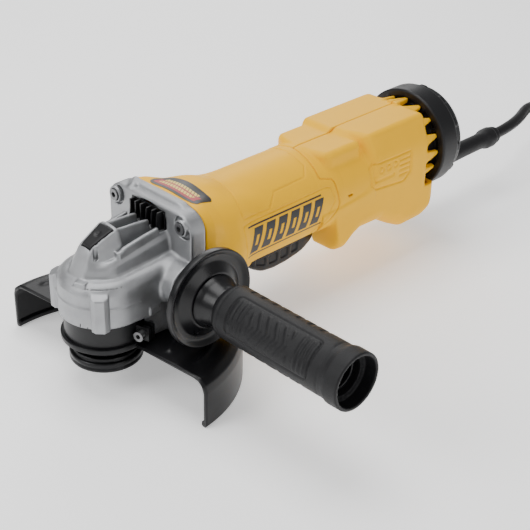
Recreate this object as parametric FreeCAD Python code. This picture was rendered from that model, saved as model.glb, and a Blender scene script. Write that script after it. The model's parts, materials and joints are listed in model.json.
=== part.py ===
import FreeCAD, Part
import math
import os
from FreeCAD import Vector

# Corded angle grinder with a paddle switch, a 150 mm guard and a screwed-on side handle.
# Row frame: origin at the centre of the spindle's free end, +X back along the motor axis
# towards the cord, +Z up, so the side handle stands out towards -Y. Millimetres.

# ---- driving dimensions -------------------------------------------------------------
MOTOR_Z = 60.0              # height of the motor axis above the spindle's free end
FLOOR_Z = -10.0             # lowest point: the guard's skirt edge
GAP = 0.3                   # room between curved faces on different bodies
RUNNING = 0.04              # radial clearance of a shaft in its bearing

SPINDLE_THREAD_R = 7.94     # 5/8-11 spindle nose
THREAD_PITCH_R = 7.2        # thread surface shared by spindle and clamp nut
CASE_R = 28.0               # gear case round the spindle axis
CASE_HALF_Y = 29.5          # its straight sides
CASE_BOTTOM_Z = 38.5        # under the gears
CASE_SIDE_Z = 44.0          # under the straight sides
FLANGE_X0, FLANGE_X1 = 34.0, 48.0
FLANGE_HALF_Y = 38.0
FLANGE_Z0, FLANGE_Z1 = 25.0, 98.0

BARREL_R = 32.6             # motor barrel
FLARE_R = 38.0              # barrel where it meets the gear case
BELLY_Z = 42.0              # flat underside above the paddle
JOIN_X = 160.0              # barrel ends, rear shells begin
REAR_X1 = 273.0             # rear shells end
REAR_HALF_Y = 33.0
WALL = 2.6

HANDLE_X, HANDLE_Z = 34.0, 55.0   # M10 side-handle sockets
HANDLE_THREAD_R = 5.0
HANDLE_SOCKET_Y = 38.3      # mouth of each socket, clear of the square flange
HANDLE_BASE_Y = 36.0        # the handle's own lengths are measured from here
HANDLE_END_Y = -170.3

GUARD_R = 83.0              # guard for a 150 mm wheel
GUARD_T = 2.0
GUARD_PLATE_Z = 23.0        # top face of the guard plate
GUARD_HUB_Z = 24.5          # top of the raised ring that carries the collar
GUARD_START, GUARD_SWEEP = -85.4, 182.2

PINION_TEETH = 12
RING_TEETH = 41
GEAR_PITCH_R = 20.0         # ring gear's pitch radius at the large end
TOOTH_FACE = 7.0
BACKLASH = 0.22

CAP_Z = 64.0                # rear cap's own axis
CAP_R = 37.0
CAP_X0, CAP_X1, CAP_DOME_X = 273.5, 289.5, 304.0

CORD_R = 4.35
CORD_Z = 32.5               # cord axis where it leaves the rear cap
BELL_X = 390.0              # end of the strain relief

X, Y, Z = Vector(1, 0, 0), Vector(0, 1, 0), Vector(0, 0, 1)


# ---- helpers ------------------------------------------------------------------------
def save(name, shape):
    shape.exportStep("parts/" + name + ".step")


def cylinder(start, axis, radius, length):
    return Part.makeCylinder(radius, length, Vector(*start), axis)


def tube(start, axis, outer, inner, length):
    return cylinder(start, axis, outer, length).cut(cylinder(start, axis, inner, length))


def block(x0, x1, y0, y1, z0, z1):
    return Part.makeBox(x1 - x0, y1 - y0, z1 - z0, Vector(x0, y0, z0))


def polygon(points):
    corners = [Vector(*p) for p in points]
    return Part.Face(Part.makePolygon(corners + [corners[0]]))


def side_prism(points, half_y, middle=0.0):
    """Solid between two planes of constant Y from an outline in X and Z."""
    face = polygon([(x, middle - half_y, z) for x, z in points])
    return face.extrude(Vector(0, 2 * half_y, 0))


def turned(points, axis, origin=(0, 0, 0), sweep=360.0):
    """Solid of revolution: points are (distance from the axis, place along the axis)."""
    along = {"X": X, "Y": Y, "Z": Z}[axis]
    across = {"X": Z, "Y": X, "Z": X}[axis]
    base = Vector(*origin)
    corners = [base + across * r + along * h for r, h in points]
    face = Part.Face(Part.makePolygon(corners + [corners[0]]))
    return face.revolve(base, along, sweep)


def rounded_bar(x0, x1, half_y, z0, z1, radius):
    """Bar along X whose section is a rectangle with round corners."""
    radius = min(radius, half_y - 0.01, (z1 - z0) / 2 - 0.01)
    tall = block(x0, x1, -half_y + radius, half_y - radius, z0, z1)
    wide = block(x0, x1, -half_y, half_y, z0 + radius, z1 - radius)
    bar = tall.fuse(wide)
    for y in (-half_y + radius, half_y - radius):
        for z in (z0 + radius, z1 - radius):
            bar = bar.fuse(cylinder((x0, y, z), X, radius, x1 - x0))
    return bar.removeSplitter()


def on_motor_axis(points):
    return turned(points, "X", (0, 0, MOTOR_Z))


def hexagon(start, axis, across_flats, length):
    """Hexagonal prism along X or Y or Z."""
    radius = across_flats / math.sqrt(3)
    side = Y if axis == X else X
    up = axis.cross(side)
    base = Vector(*start)
    corners = []
    for k in range(6):
        angle = math.radians(60 * k)
        corners.append(base + side * (radius * math.cos(angle)) + up * (radius * math.sin(angle)))
    return Part.Face(Part.makePolygon(corners + [corners[0]])).extrude(axis * length)


def screw(start, axis, head_r, head_h, shank_r, shank_l, socket_r=1.6):
    """Pan-head screw: the head starts at start and the shank runs on along axis."""
    head = cylinder(start, axis, head_r, head_h)
    head = head.cut(hexagon(start, axis, socket_r * math.sqrt(3), head_h * 0.6))
    tip = Vector(*start) + axis * head_h
    shank = Part.makeCylinder(shank_r, shank_l, tip, axis)
    return head.fuse(shank)


def ball_bearing(start, axis, bore_r, outer_r, width, balls=8):
    """Open bearing: two races and loose balls, as separate solids."""
    ring = (outer_r - bore_r) * 0.28
    inner = tube(start, axis, bore_r + ring, bore_r, width)
    outer = tube(start, axis, outer_r, outer_r - ring, width)
    middle_r = (outer_r + bore_r) / 2
    ball_r = middle_r - bore_r - ring - 0.05
    side = Y if axis == X else X
    up = axis.cross(side)
    middle = Vector(*start) + axis * (width / 2)
    solids = [inner, outer]
    for k in range(balls):
        angle = 2 * math.pi * k / balls
        centre = middle + side * (middle_r * math.cos(angle)) + up * (middle_r * math.sin(angle))
        solids.append(Part.makeSphere(ball_r, centre))
    return Part.makeCompound(solids)


def coil_spring(start, axis, radius, wire_r, length, turns):
    """Compression spring whose axis starts at start."""
    helix = Part.makeHelix((length - 2 * wire_r) / turns, length - 2 * wire_r, radius)
    section = Part.Wire(Part.makeCircle(wire_r, Vector(radius, 0, 0), Y))
    spring = Part.Wire(helix).makePipeShell([section], True, True)
    spring.Placement = FreeCAD.Placement(
        Vector(*start) + axis * wire_r, FreeCAD.Rotation(Z, axis)
    )
    return spring


# ---- straight bevel gears -----------------------------------------------------------
PRESSURE = math.radians(20)
PINION_CONE = math.atan(PINION_TEETH / RING_TEETH)
RING_CONE = math.pi / 2 - PINION_CONE
CONE_DISTANCE = GEAR_PITCH_R / math.sin(RING_CONE)


def involute(angle):
    return math.tan(angle) - angle


def tooth_section(teeth, cone, addendum, dedendum, turn):
    """Tooth outline on the plane one millimetre from the apex, as (radius, angle) pairs."""
    virtual_r = CONE_DISTANCE * math.tan(cone)
    base_r = virtual_r * math.cos(PRESSURE)
    half_tooth = math.pi * CONE_DISTANCE * math.sin(cone) / teeth / 2 - BACKLASH / 4
    flank = []
    for offset in (-dedendum, -0.45 * dedendum, 0.4 * addendum, addendum):
        pressure = math.acos(min(1.0, base_r / (virtual_r + offset)))
        half = half_tooth / virtual_r + involute(PRESSURE) - involute(pressure)
        radius = math.tan(cone + math.atan(offset / CONE_DISTANCE))
        flank.append((radius, half / math.cos(cone)))
    outline = []
    for k in range(teeth):
        middle = 2 * math.pi * k / teeth + turn
        outline += [(r, middle - half) for r, half in flank]
        outline += [(r, middle + half) for r, half in reversed(flank)]
    return outline


def cone_corner(cone, distance, offset):
    """Radius and apex distance of a point beside the pitch cone."""
    radius = distance * math.sin(cone) + offset * math.cos(cone)
    return radius, distance * math.cos(cone) - offset * math.sin(cone)


def bevel_teeth(teeth, cone, addendum, dedendum, turn):
    """Toothed ring about +Z with its apex at the origin, trimmed by its back and front cones."""
    outline = tooth_section(teeth, cone, addendum, dedendum, turn)

    def ring(height):
        corners = []
        for radius, angle in outline:
            across = height * radius
            corners.append(Vector(across * math.cos(angle), across * math.sin(angle), height))
        return Part.makePolygon(corners + [corners[0]])

    inner = CONE_DISTANCE - TOOTH_FACE
    shrink = inner / CONE_DISTANCE
    top = addendum + 0.05
    foot = dedendum + 0.6
    corners = [
        cone_corner(cone, CONE_DISTANCE, top),
        cone_corner(cone, CONE_DISTANCE, -foot),
        cone_corner(cone, inner, -foot * shrink),
        cone_corner(cone, inner, top * shrink),
    ]
    heights = [h for _, h in corners]
    star = Part.makeLoft([ring(0.9 * min(heights)), ring(1.1 * max(heights))], True, True)
    return star.common(turned(corners, "Z")), corners


RING_ADDENDUM, RING_DEDENDUM = 0.70, 1.45
PINION_ADDENDUM, PINION_DEDENDUM = 1.20, 0.95


# ---- spindle ------------------------------------------------------------------------
BEARING_Z0, BEARING_Z1 = 29.5, 40.5     # spindle bearing in the retainer
GEAR_SEAT_Z0, GEAR_SEAT_Z1 = 45.5, 52.5
TOP_BEARING_Z0, TOP_BEARING_Z1 = 64.0, 72.0
NUT_Z0, NUT_Z1 = 5.2, 13.8
BACKING_Z1 = 22.0


def make_spindle():
    outline = [
        (0, 0), (SPINDLE_THREAD_R, 0), (SPINDLE_THREAD_R, NUT_Z0 - 0.2),
        (THREAD_PITCH_R, NUT_Z0 - 0.2), (THREAD_PITCH_R, NUT_Z1),
        (SPINDLE_THREAD_R, NUT_Z1), (SPINDLE_THREAD_R, BACKING_Z1), (9.5, BACKING_Z1),
        (9.5, BEARING_Z0), (7.5 - RUNNING, BEARING_Z0), (7.5 - RUNNING, GEAR_SEAT_Z0 - 1.5),
        (8.6, GEAR_SEAT_Z0 - 1.5), (8.6, GEAR_SEAT_Z0), (6.0, GEAR_SEAT_Z0),
        (6.0, GEAR_SEAT_Z1), (5.4, GEAR_SEAT_Z1), (5.4, GEAR_SEAT_Z1 + 1.2),
        (6.0, GEAR_SEAT_Z1 + 1.2), (6.0, GEAR_SEAT_Z1 + 2.4), (4.5, GEAR_SEAT_Z1 + 3.0),
        (4.5, TOP_BEARING_Z0 - 0.6), (3.0, TOP_BEARING_Z0 - 0.6), (3.0, 71.4), (0, 71.4),
    ]
    return turned(outline, "Z")


LOCK_X, LOCK_PIN_R = -9.5, 1.8
LOCK_HOLE_R = 2.3


def make_ring_gear():
    half_pitch = math.pi / RING_TEETH
    teeth, corners = bevel_teeth(RING_TEETH, RING_CONE, RING_ADDENDUM, RING_DEDENDUM, half_pitch)
    teeth.rotate(Vector(0, 0, 0), X, 180)
    teeth.translate(Vector(0, 0, MOTOR_Z))
    outer_r, outer_h = corners[1]
    inner_r, inner_h = corners[2]
    outline = [
        (6.0, GEAR_SEAT_Z0), (16.0, GEAR_SEAT_Z0), (outer_r, GEAR_SEAT_Z0 + 2.4),
        (outer_r, MOTOR_Z - outer_h), (inner_r, MOTOR_Z - inner_h), (inner_r - 0.4, GEAR_SEAT_Z1),
        (6.0, GEAR_SEAT_Z1),
    ]
    gear = turned(outline, "Z").fuse(teeth)
    for k in range(4):
        angle = math.pi / 2 * k
        hole = cylinder((LOCK_X * math.cos(angle), LOCK_X * math.sin(angle), 40), Z, LOCK_HOLE_R, 20)
        gear = gear.cut(hole)
    return gear.removeSplitter()


def make_retaining_ring():
    ring = tube((0, 0, GEAR_SEAT_Z1 + 0.1), Z, 7.0, 5.4, 1.0)
    return ring.cut(block(0, 8, -1.2, 1.2, GEAR_SEAT_Z1, GEAR_SEAT_Z1 + 2))


def make_backing_flange():
    outline = [
        (SPINDLE_THREAD_R, NUT_Z1), (17.5, NUT_Z1), (18.6, NUT_Z1 + 1.2), (18.6, 17.0),
        (21.4, 17.6), (21.4, BACKING_Z1 - 0.8), (20.6, BACKING_Z1), (SPINDLE_THREAD_R, BACKING_Z1),
    ]
    return turned(outline, "Z")


def make_clamp_nut():
    outline = [
        (THREAD_PITCH_R, NUT_Z0), (21.0, NUT_Z0), (22.6, NUT_Z0 + 1.4), (22.6, NUT_Z1 - 2.6),
        (20.6, NUT_Z1 - 1.2), (20.6, NUT_Z1), (THREAD_PITCH_R, NUT_Z1),
    ]
    nut = turned(outline, "Z")
    for k in range(4):
        angle = math.radians(45 + 90 * k)
        hole = cylinder((15 * math.cos(angle), 15 * math.sin(angle), NUT_Z0), Z, 2.5, 5.0)
        nut = nut.cut(hole)
    return nut


# ---- bearing retainer, bearings and seal --------------------------------------------
RETAINER_NECK_R = 21.4
RETAINER_SPIGOT_R = 25.9
RETAINER_SCREW_R = 23.6
RETAINER_HEAD_H = 1.8


def make_bearing_retainer():
    outline = [
        (11.5, 22.6), (RETAINER_NECK_R, 22.6), (RETAINER_NECK_R, CASE_BOTTOM_Z),
        (RETAINER_SPIGOT_R, CASE_BOTTOM_Z), (RETAINER_SPIGOT_R, CASE_BOTTOM_Z + 3.0),
        (14.5, CASE_BOTTOM_Z + 3.0), (14.5, BEARING_Z1), (17.5, BEARING_Z1), (17.5, BEARING_Z0),
        (15.0, BEARING_Z0), (15.0, 26.5), (11.5, 26.5),
    ]
    retainer = turned(outline, "Z")
    for place in retainer_screw_places():
        retainer = retainer.cut(cylinder(place, Z, 1.6, 8.0))
        retainer = retainer.cut(cylinder(place, Z, 2.7, RETAINER_HEAD_H))
    return retainer


def retainer_screw_places():
    angles = [math.radians(45 + 90 * k) for k in range(4)]
    return [(RETAINER_SCREW_R * math.cos(a), RETAINER_SCREW_R * math.sin(a), CASE_BOTTOM_Z) for a in angles]


def make_retainer_screws():
    places = retainer_screw_places()
    return Part.makeCompound([screw(p, Z, 2.2, RETAINER_HEAD_H, 1.5, 5.0, 1.0) for p in places])


def make_spindle_seal():
    return turned([(9.7, 26.6), (14.9, 26.6), (14.9, 29.3), (9.7, 29.3)], "Z")


def make_top_bearing():
    return tube((0, 0, TOP_BEARING_Z0), Z, 5.0, 3.0 + RUNNING, TOP_BEARING_Z1 - TOP_BEARING_Z0)


FRONT_BEARING_X0 = 25.0
REAR_BEARING_X0, REAR_BEARING_X1 = 118.0, 125.0


def make_bearing_sleeve():
    sleeve = [(11.0, REAR_BEARING_X0), (13.0, REAR_BEARING_X0), (13.0, 127.0), (6.0, 127.0),
              (6.0, REAR_BEARING_X1 + 0.2), (11.0, REAR_BEARING_X1 + 0.2)]
    return on_motor_axis(sleeve)


# ---- gear case ----------------------------------------------------------------------
BUTTON_X0, BUTTON_X1, BUTTON_HALF_Y = -10.3, 4.8, 6.0
BUTTON_FOOT_X = -11.8
BUTTON_TRAVEL = 3.0
CASE_SCREW_Y, CASE_SCREW_Z = 30.0, (34.0, 90.0)


def case_lower_tier():
    """Round nose and straight sides under a sloping shoulder."""
    nose = turned([
        (0, CASE_BOTTOM_Z), (CASE_R, CASE_BOTTOM_Z), (CASE_R, 60.0), (26.0, 64.5), (22.5, 67.2), (0, 67.2),
    ], "Z")
    section = [(CASE_HALF_Y, CASE_SIDE_Z), (CASE_HALF_Y, 62.0), (27.0, 66.5), (22.5, 69.2)]
    corners = section + [(-y, z) for y, z in reversed(section)]
    sides = polygon([(0, y, z) for y, z in corners]).extrude(Vector(FLANGE_X1, 0, 0))
    return nose.fuse(sides)


def case_upper_tier():
    """Narrower U whose top climbs towards the flange, with the button's hump and four ribs."""
    roof = side_prism([
        (-17.5, 60), (-17.5, 72), (-14, 75.5), (10, 78.5), (FLANGE_X0, 82.5), (FLANGE_X0, 60),
    ], 18.5)
    plan = cylinder((0, 0, 60), Z, 17.5, 40).fuse(block(0, FLANGE_X0, -18.5, 18.5, 60, 100))
    hump = side_prism([
        (-19.5, 66), (-15.5, 78), (-12.8, 82.5), (-10.6, 84.3), (-2.3, 88.6), (5.5, 91.8), (8, 90), (8, 66),
    ], 9.0)
    tier = roof.common(plan).fuse(hump)
    for y, x0, z0 in ((5.0, 6.0, 88.8), (14.0, 3.0, 81.0)):
        for side in (-1, 1):
            rib = side_prism([(x0, 74), (x0, z0), (FLANGE_X0, 88.4), (FLANGE_X0, 74)], 1.2, side * y)
            tier = tier.fuse(rib)
    return tier


LUG_ANGLE, LUG_R = 48.0, 4.0        # two screw columns on the nose


def make_gear_case():
    flange = rounded_bar(FLANGE_X0, FLANGE_X1, FLANGE_HALF_Y, FLANGE_Z0, FLANGE_Z1, 12.0)
    body = case_lower_tier().fuse(case_upper_tier()).fuse(flange)
    body = body.fuse(cylinder((HANDLE_X, -HANDLE_SOCKET_Y, HANDLE_Z), Y, 13.0, 2 * HANDLE_SOCKET_Y))
    for angle in (180 - LUG_ANGLE, 180 + LUG_ANGLE):
        a = math.radians(angle)
        place = ((CASE_R - 0.5) * math.cos(a), (CASE_R - 0.5) * math.sin(a), CASE_BOTTOM_Z)
        body = body.fuse(cylinder(place, Z, LUG_R, 24.0))

    gear_chamber = cylinder((0, 0, 46.0), Z, 24.0, 18.0)
    gear_chamber = gear_chamber.fuse(cylinder((0, 0, CASE_BOTTOM_Z + 2), Z, 21.8, 8.0))
    gear_chamber = gear_chamber.fuse(block(0, 20, -11, 11, 46, 71))
    top_boss = cylinder((0, 0, TOP_BEARING_Z0), Z, 6.6, 20)
    gear_chamber = gear_chamber.fuse(cylinder((0, 0, 60), Z, 14.5, 9)).cut(top_boss)
    body = body.cut(gear_chamber)
    body = body.cut(cylinder((0, 0, CASE_BOTTOM_Z - 1), Z, RETAINER_SPIGOT_R, 4.0))
    body = body.cut(cylinder((0, 0, TOP_BEARING_Z0 - 1), Z, 5.0, TOP_BEARING_Z1 - TOP_BEARING_Z0 + 1.2))
    body = body.cut(cylinder((19, 0, MOTOR_Z), X, 8.6, 8.0))
    body = body.cut(cylinder((FRONT_BEARING_X0, 0, MOTOR_Z), X, 13.0, 12.0))
    body = body.cut(cylinder((37.0, 0, MOTOR_Z), X, 31.0, 12.0))
    exhaust = side_prism([(24, 88), (24, 100), (FLANGE_X0 + 4, 100), (FLANGE_X0 + 4, 82), (30, 82)], 15.5)
    window = block(FLANGE_X0 - 4, FLANGE_X0 + 4, -15.5, 15.5, 82, 95)
    body = body.cut(window).cut(exhaust.common(block(20, FLANGE_X0, -15.5, 15.5, 80, 100)))

    for place in retainer_screw_places():
        body = body.cut(cylinder(place, Z, 1.5, 7.0))
    for side in (-1, 1):
        socket = cylinder((HANDLE_X, side * HANDLE_SOCKET_Y, HANDLE_Z), Y * -side, HANDLE_THREAD_R, 16.0)
        body = body.cut(socket)
        for z in CASE_SCREW_Z:
            body = body.cut(cylinder((30, side * CASE_SCREW_Y, z), X, 2.1, 20))
            body = body.cut(cylinder((28, side * CASE_SCREW_Y, z), X, 4.6, 9.0))
    pocket = block(
        BUTTON_FOOT_X - GAP, BUTTON_X1 + GAP, -BUTTON_HALF_Y - GAP, BUTTON_HALF_Y + GAP, 75.6, 81.5
    )
    mouth = block(BUTTON_X0 - GAP, BUTTON_X1 + GAP, -BUTTON_HALF_Y - GAP, BUTTON_HALF_Y + GAP, 75.6, 96)
    body = body.cut(pocket).cut(mouth)
    body = body.cut(cylinder((LOCK_X, 0, 72), Z, 2.9, 5))
    body = body.cut(cylinder((LOCK_X, 0, 60), Z, LOCK_PIN_R + 0.1, 15))
    return body


def make_gear_case_screws():
    screws = []
    for side in (-1, 1):
        for z in CASE_SCREW_Z:
            screws.append(screw((33.6, side * CASE_SCREW_Y, z), X, 3.6, 3.4, 2.0, 22.0, 1.9))
    return Part.makeCompound(screws)


# ---- lock button --------------------------------------------------------------------
LOCK_PIN_TIP_Z = GEAR_SEAT_Z1 + BUTTON_TRAVEL + 0.3


def make_lock_button():
    outline = [(BUTTON_X0, 79.8), (BUTTON_X0, 84.0), (BUTTON_X1, 91.4), (BUTTON_X1, 79.8)]
    key = side_prism(outline, BUTTON_HALF_Y)
    foot = block(BUTTON_FOOT_X, BUTTON_X0, -BUTTON_HALF_Y, BUTTON_HALF_Y, 79.8, 81.2)
    dimple = Part.makeSphere(3.0, Vector(-2.5, 0, 89.8))
    return key.fuse(foot).cut(dimple).cut(cylinder((LOCK_X, 0, 79), Z, LOCK_PIN_R, 1.8))


def make_lock_pin():
    return cylinder((LOCK_X, 0, LOCK_PIN_TIP_Z), Z, LOCK_PIN_R, 80.8 - LOCK_PIN_TIP_Z)


def make_lock_spring():
    return coil_spring((LOCK_X, 0, 75.2), Z, 2.35, 0.3, 4.5, 4)


# ---- armature -----------------------------------------------------------------------
CORE_X0, CORE_X1 = 57.0, 91.0
FAN_X0, FAN_X1 = 40.0, 50.0


def make_armature_shaft():
    front = 5.0 - RUNNING
    rear = 4.0 - RUNNING
    return on_motor_axis([
        (0, 9.0), (2.5, 9.0), (2.5, 13.0), (3.0, 13.0), (3.0, 21.5), (6.5, 21.5), (6.5, 24.5),
        (front, 24.5), (front, 38.0), (6.0, 38.0), (6.0, 116.5), (rear, 116.5), (rear, 125.5), (0, 125.5),
    ])


def make_pinion():
    teeth, corners = bevel_teeth(PINION_TEETH, PINION_CONE, PINION_ADDENDUM, PINION_DEDENDUM, 0.0)
    outer_r, outer_h = corners[1]
    inner_r, inner_h = corners[2]
    hub = turned([(0, inner_h), (inner_r, inner_h), (outer_r, outer_h), (outer_r, 21.5), (0, 21.5)], "Z")
    pinion = hub.fuse(teeth)
    pinion.rotate(Vector(0, 0, 0), Z, 180.0)
    pinion.rotate(Vector(0, 0, 0), Y, 90)
    pinion.translate(Vector(0, 0, MOTOR_Z))
    return pinion.cut(on_motor_axis([(0, 5.0), (2.5, 5.0), (2.5, 13.0), (3.0, 13.0), (3.0, 22.0), (0, 22.0)]))


def make_pinion_nut():
    nut = hexagon((9.4, 0, MOTOR_Z), X, 7.0, 3.4)
    return nut.cut(cylinder((9, 0, MOTOR_Z), X, 2.5, 5.0))


def make_cooling_fan():
    disc = on_motor_axis([(6.0, 47.0), (28.5, 47.0), (28.5, FAN_X1 - 1.0), (8.5, FAN_X1), (6.0, FAN_X1)])
    hub = on_motor_axis([(6.0, FAN_X0), (9.0, FAN_X0), (9.0, 47.5), (6.0, 47.5)])
    fan = disc.fuse(hub)
    blade = block(FAN_X0 + 1.0, 47.5, -0.7, 0.7, MOTOR_Z + 8.5, MOTOR_Z + 28.0)
    for k in range(9):
        turned_blade = blade.copy()
        turned_blade.rotate(Vector(0, 0, MOTOR_Z), X, 40 * k)
        fan = fan.fuse(turned_blade)
    return fan.removeSplitter()


def make_armature_core():
    core = on_motor_axis([(6.0, CORE_X0), (17.2, CORE_X0), (17.2, CORE_X1), (6.0, CORE_X1)])
    slot = block(CORE_X0, CORE_X1, -0.8, 0.8, MOTOR_Z + 11.5, MOTOR_Z + 18)
    for k in range(12):
        turned_slot = slot.copy()
        turned_slot.rotate(Vector(0, 0, MOTOR_Z), X, 30 * k)
        core = core.cut(turned_slot)
    return core


def make_armature_windings():
    front = [(6.0, 51.0), (12.0, 51.0), (15.5, 53.0), (15.5, CORE_X0), (6.0, CORE_X0)]
    rear = [(6.0, CORE_X1), (15.5, CORE_X1), (15.5, 95.5), (11.0, 98.0), (6.0, 98.0)]
    return Part.makeCompound([on_motor_axis(front), on_motor_axis(rear)])


def make_commutator():
    commutator = on_motor_axis([
        (6.0, 98.5), (12.6, 98.5), (12.6, 100.5), (11.5, 100.5), (11.5, 114.0), (6.0, 114.0),
    ])
    slot = block(100.5, 114.0, -0.25, 0.25, MOTOR_Z + 10.7, MOTOR_Z + 13)
    for k in range(24):
        turned_slot = slot.copy()
        turned_slot.rotate(Vector(0, 0, MOTOR_Z), X, 15 * k)
        commutator = commutator.cut(turned_slot)
    return commutator


# ---- stator and brushes -------------------------------------------------------------
STATOR_R = 28.5


def make_stator_core():
    outer = cylinder((CORE_X0, 0, MOTOR_Z), X, STATOR_R, CORE_X1 - CORE_X0)
    bore = cylinder((CORE_X0, 0, MOTOR_Z), X, 17.6, CORE_X1 - CORE_X0)
    core = outer.cut(bore)
    for side in (-1, 1):
        for end in (-1, 1):
            window = block(CORE_X0, CORE_X1, -3.7, 3.7, -3.6, 3.6)
            window.translate(Vector(0, side * 19.5, MOTOR_Z + end * 11.5))
            core = core.cut(window)
    return core


def make_field_windings():
    """One coil round each pole, above and below the armature."""
    coils = []
    for side in (-1, 1):
        middle_y = side * 19.5
        for end in (-1, 1):
            z = MOTOR_Z + end * 11.5
            coils.append(block(CORE_X0, CORE_X1, middle_y - 3.4, middle_y + 3.4, z - 3.3, z + 3.3))
    rings = []
    for x0, x1 in ((51.5, CORE_X0), (CORE_X1, 94.5)):
        rings.append(tube((x0, 0, MOTOR_Z), X, 25.5, 18.6, x1 - x0))
    shape = rings[0].fuse(rings[1])
    for coil in coils:
        shape = shape.fuse(coil)
    return shape.removeSplitter()


BRUSH_X = 107.0


def make_brush_holders():
    holders = []
    for side in (-1, 1):
        y0, y1 = sorted((side * 12.6, side * 27.0))
        holder = block(BRUSH_X - 5.5, BRUSH_X + 5.5, y0, y1, MOTOR_Z - 5, MOTOR_Z + 5)
        holder = holder.cut(block(BRUSH_X - 4.0, BRUSH_X + 4.0, y0 - 1, y1 + 1, MOTOR_Z - 3.3, MOTOR_Z + 3.3))
        cap_y = sorted((side * 25.5, side * 27.0))
        cap = block(BRUSH_X - 5.5, BRUSH_X + 5.5, cap_y[0], cap_y[1], MOTOR_Z - 5, MOTOR_Z + 5)
        holder = holder.fuse(cap)
        holders.append(holder)
    return Part.makeCompound(holders)


def make_carbon_brushes():
    drum = cylinder((BRUSH_X - 6, 0, MOTOR_Z), X, 11.5 + GAP, 12)
    brushes = []
    for side in (-1, 1):
        y0, y1 = sorted((side * 9.0, side * 21.0))
        brush = block(BRUSH_X - 3.8, BRUSH_X + 3.8, y0, y1, MOTOR_Z - 3.1, MOTOR_Z + 3.1)
        brushes.append(brush.cut(drum))
    return Part.makeCompound(brushes)


def make_brush_springs():
    springs = [coil_spring((BRUSH_X, side * 21.0, MOTOR_Z), Y * side, 2.2, 0.35, 4.5, 3) for side in (-1, 1)]
    return Part.makeCompound(springs)


# ---- motor housing ------------------------------------------------------------------
ROOT_X1, FLARE_END_X, BARREL_START_X = 67.0, 74.0, 94.0


def barrel(grow, x_front, x_back, belly):
    """Outer form of the barrel, moved outwards by grow."""
    form = on_motor_axis([
        (0, x_front), (FLARE_R + grow, x_front), (FLARE_R + grow, FLARE_END_X),
        (BARREL_R + grow, BARREL_START_X), (BARREL_R + grow, x_back), (0, x_back),
    ])
    form = form.cut(block(97.0 - grow, x_back + 1, -60, 60, 0, belly - grow))
    return form.cut(block(x_front - 1, x_back + 1, -60, 60, 0, FLANGE_Z0 - grow))


def make_motor_housing():
    root = rounded_bar(FLANGE_X1, ROOT_X1, FLANGE_HALF_Y - 0.5, FLANGE_Z0, FLANGE_Z1 - 0.5, 12.0)
    outer = barrel(0, FLANGE_X1, JOIN_X, BELLY_Z).fuse(root)
    inner = barrel(-WALL, ROOT_X1, JOIN_X, BELLY_Z)
    inner = inner.fuse(cylinder((FLANGE_X1, 0, MOTOR_Z), X, 31.0, ROOT_X1 - FLANGE_X1 + 1))
    shell = outer.cut(inner)
    for x0, outer_r0, x1, outer_r1 in ((60.5, FLARE_R - 2, 65.0, FLARE_R - 2), (84.0, 33.8, 90.0, 32.2)):
        shell = shell.fuse(on_motor_axis([(STATOR_R, x0), (outer_r0, x0), (outer_r1, x1), (STATOR_R, x1)]))
    wall = cylinder((116.0, 0, MOTOR_Z), X, BARREL_R - 1, 2.0)
    wall = wall.cut(block(115, 119, -40, 40, 0, BELLY_Z + 1))
    boss = cylinder((116.0, 0, MOTOR_Z), X, 15.5, 11.0)
    shell = shell.fuse(wall.fuse(boss))
    shell = shell.cut(cylinder((REAR_BEARING_X0, 0, MOTOR_Z), X, 13.0, 12.0))
    shell = shell.cut(cylinder((115, 0, MOTOR_Z), X, 7.0, 5.0))
    for side in (-1, 1):
        for z in CASE_SCREW_Z:
            shell = shell.cut(cylinder((FLANGE_X1 - 1, side * CASE_SCREW_Y, z), X, 2.0, 12.0))
    shell = shell.cut(block(FLANGE_X1, 97, -60, 60, 0, FLANGE_Z0))
    return shell.cut(cylinder((PLUNGER_X, 0, BELLY_Z - 1), Z, 4.4, WALL + 2))


def make_fan_baffle():
    """Black plastic baffle behind the exhaust opening, with curved guide fins."""
    plate = block(36.0, 37.0, -17.5, 17.5, 81.0, 97.0)
    plate = plate.cut(block(35, 38, -15.0, 15.0, 83.0, 94.5))
    for y in (-12.0, -7.0, -2.0, 3.0, 8.0):
        fin = block(32.0, 36.5, y, y + 0.9, 83.0, 94.5)
        fin.rotate(Vector(34, y, 88), X, -12)
        plate = plate.fuse(fin)
    return plate.common(block(31.8, 37.0, -15.2, 15.2, 82.2, 94.8)).removeSplitter()


# ---- rear housing -------------------------------------------------------------------
BOTTOM_OUTLINE = [
    (REAR_X1, 27.0), (270.0, 17.0), (246.0, 13.0), (238.0, 16.0), (222.0, 26.5), (200.0, 27.0),
    (186.0, 17.5), (173.0, 17.5), (170.0, 21.0), (170.0, BELLY_Z),
]
TOP_OUTLINE = [(JOIN_X, 92.6), (182.0, 93.0), (188.0, 95.8), (268.0, 95.6), (REAR_X1, 94.0)]
PIVOT_X, PIVOT_Z = 175.0, 33.0
PIVOT_R = 2.0


def rear_form(shrink):
    """Outer form of the two rear shells, or their hollow when shrink is the wall."""
    front = JOIN_X + GAP
    bar = rounded_bar(front, REAR_X1 - shrink, REAR_HALF_Y - shrink, 8 + shrink, 96.5 - shrink, 14.0)
    low = [(x - shrink if x > 180 else x + shrink, z + shrink) for x, z in BOTTOM_OUTLINE]
    high = [(x, z - shrink) for x, z in TOP_OUTLINE]
    high[0] = (front, high[0][1])
    high[-1] = (REAR_X1 - shrink, high[-1][1])
    outline = high + low + [(front, BELLY_Z + shrink)]
    return bar.common(side_prism(outline, 60))


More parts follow.
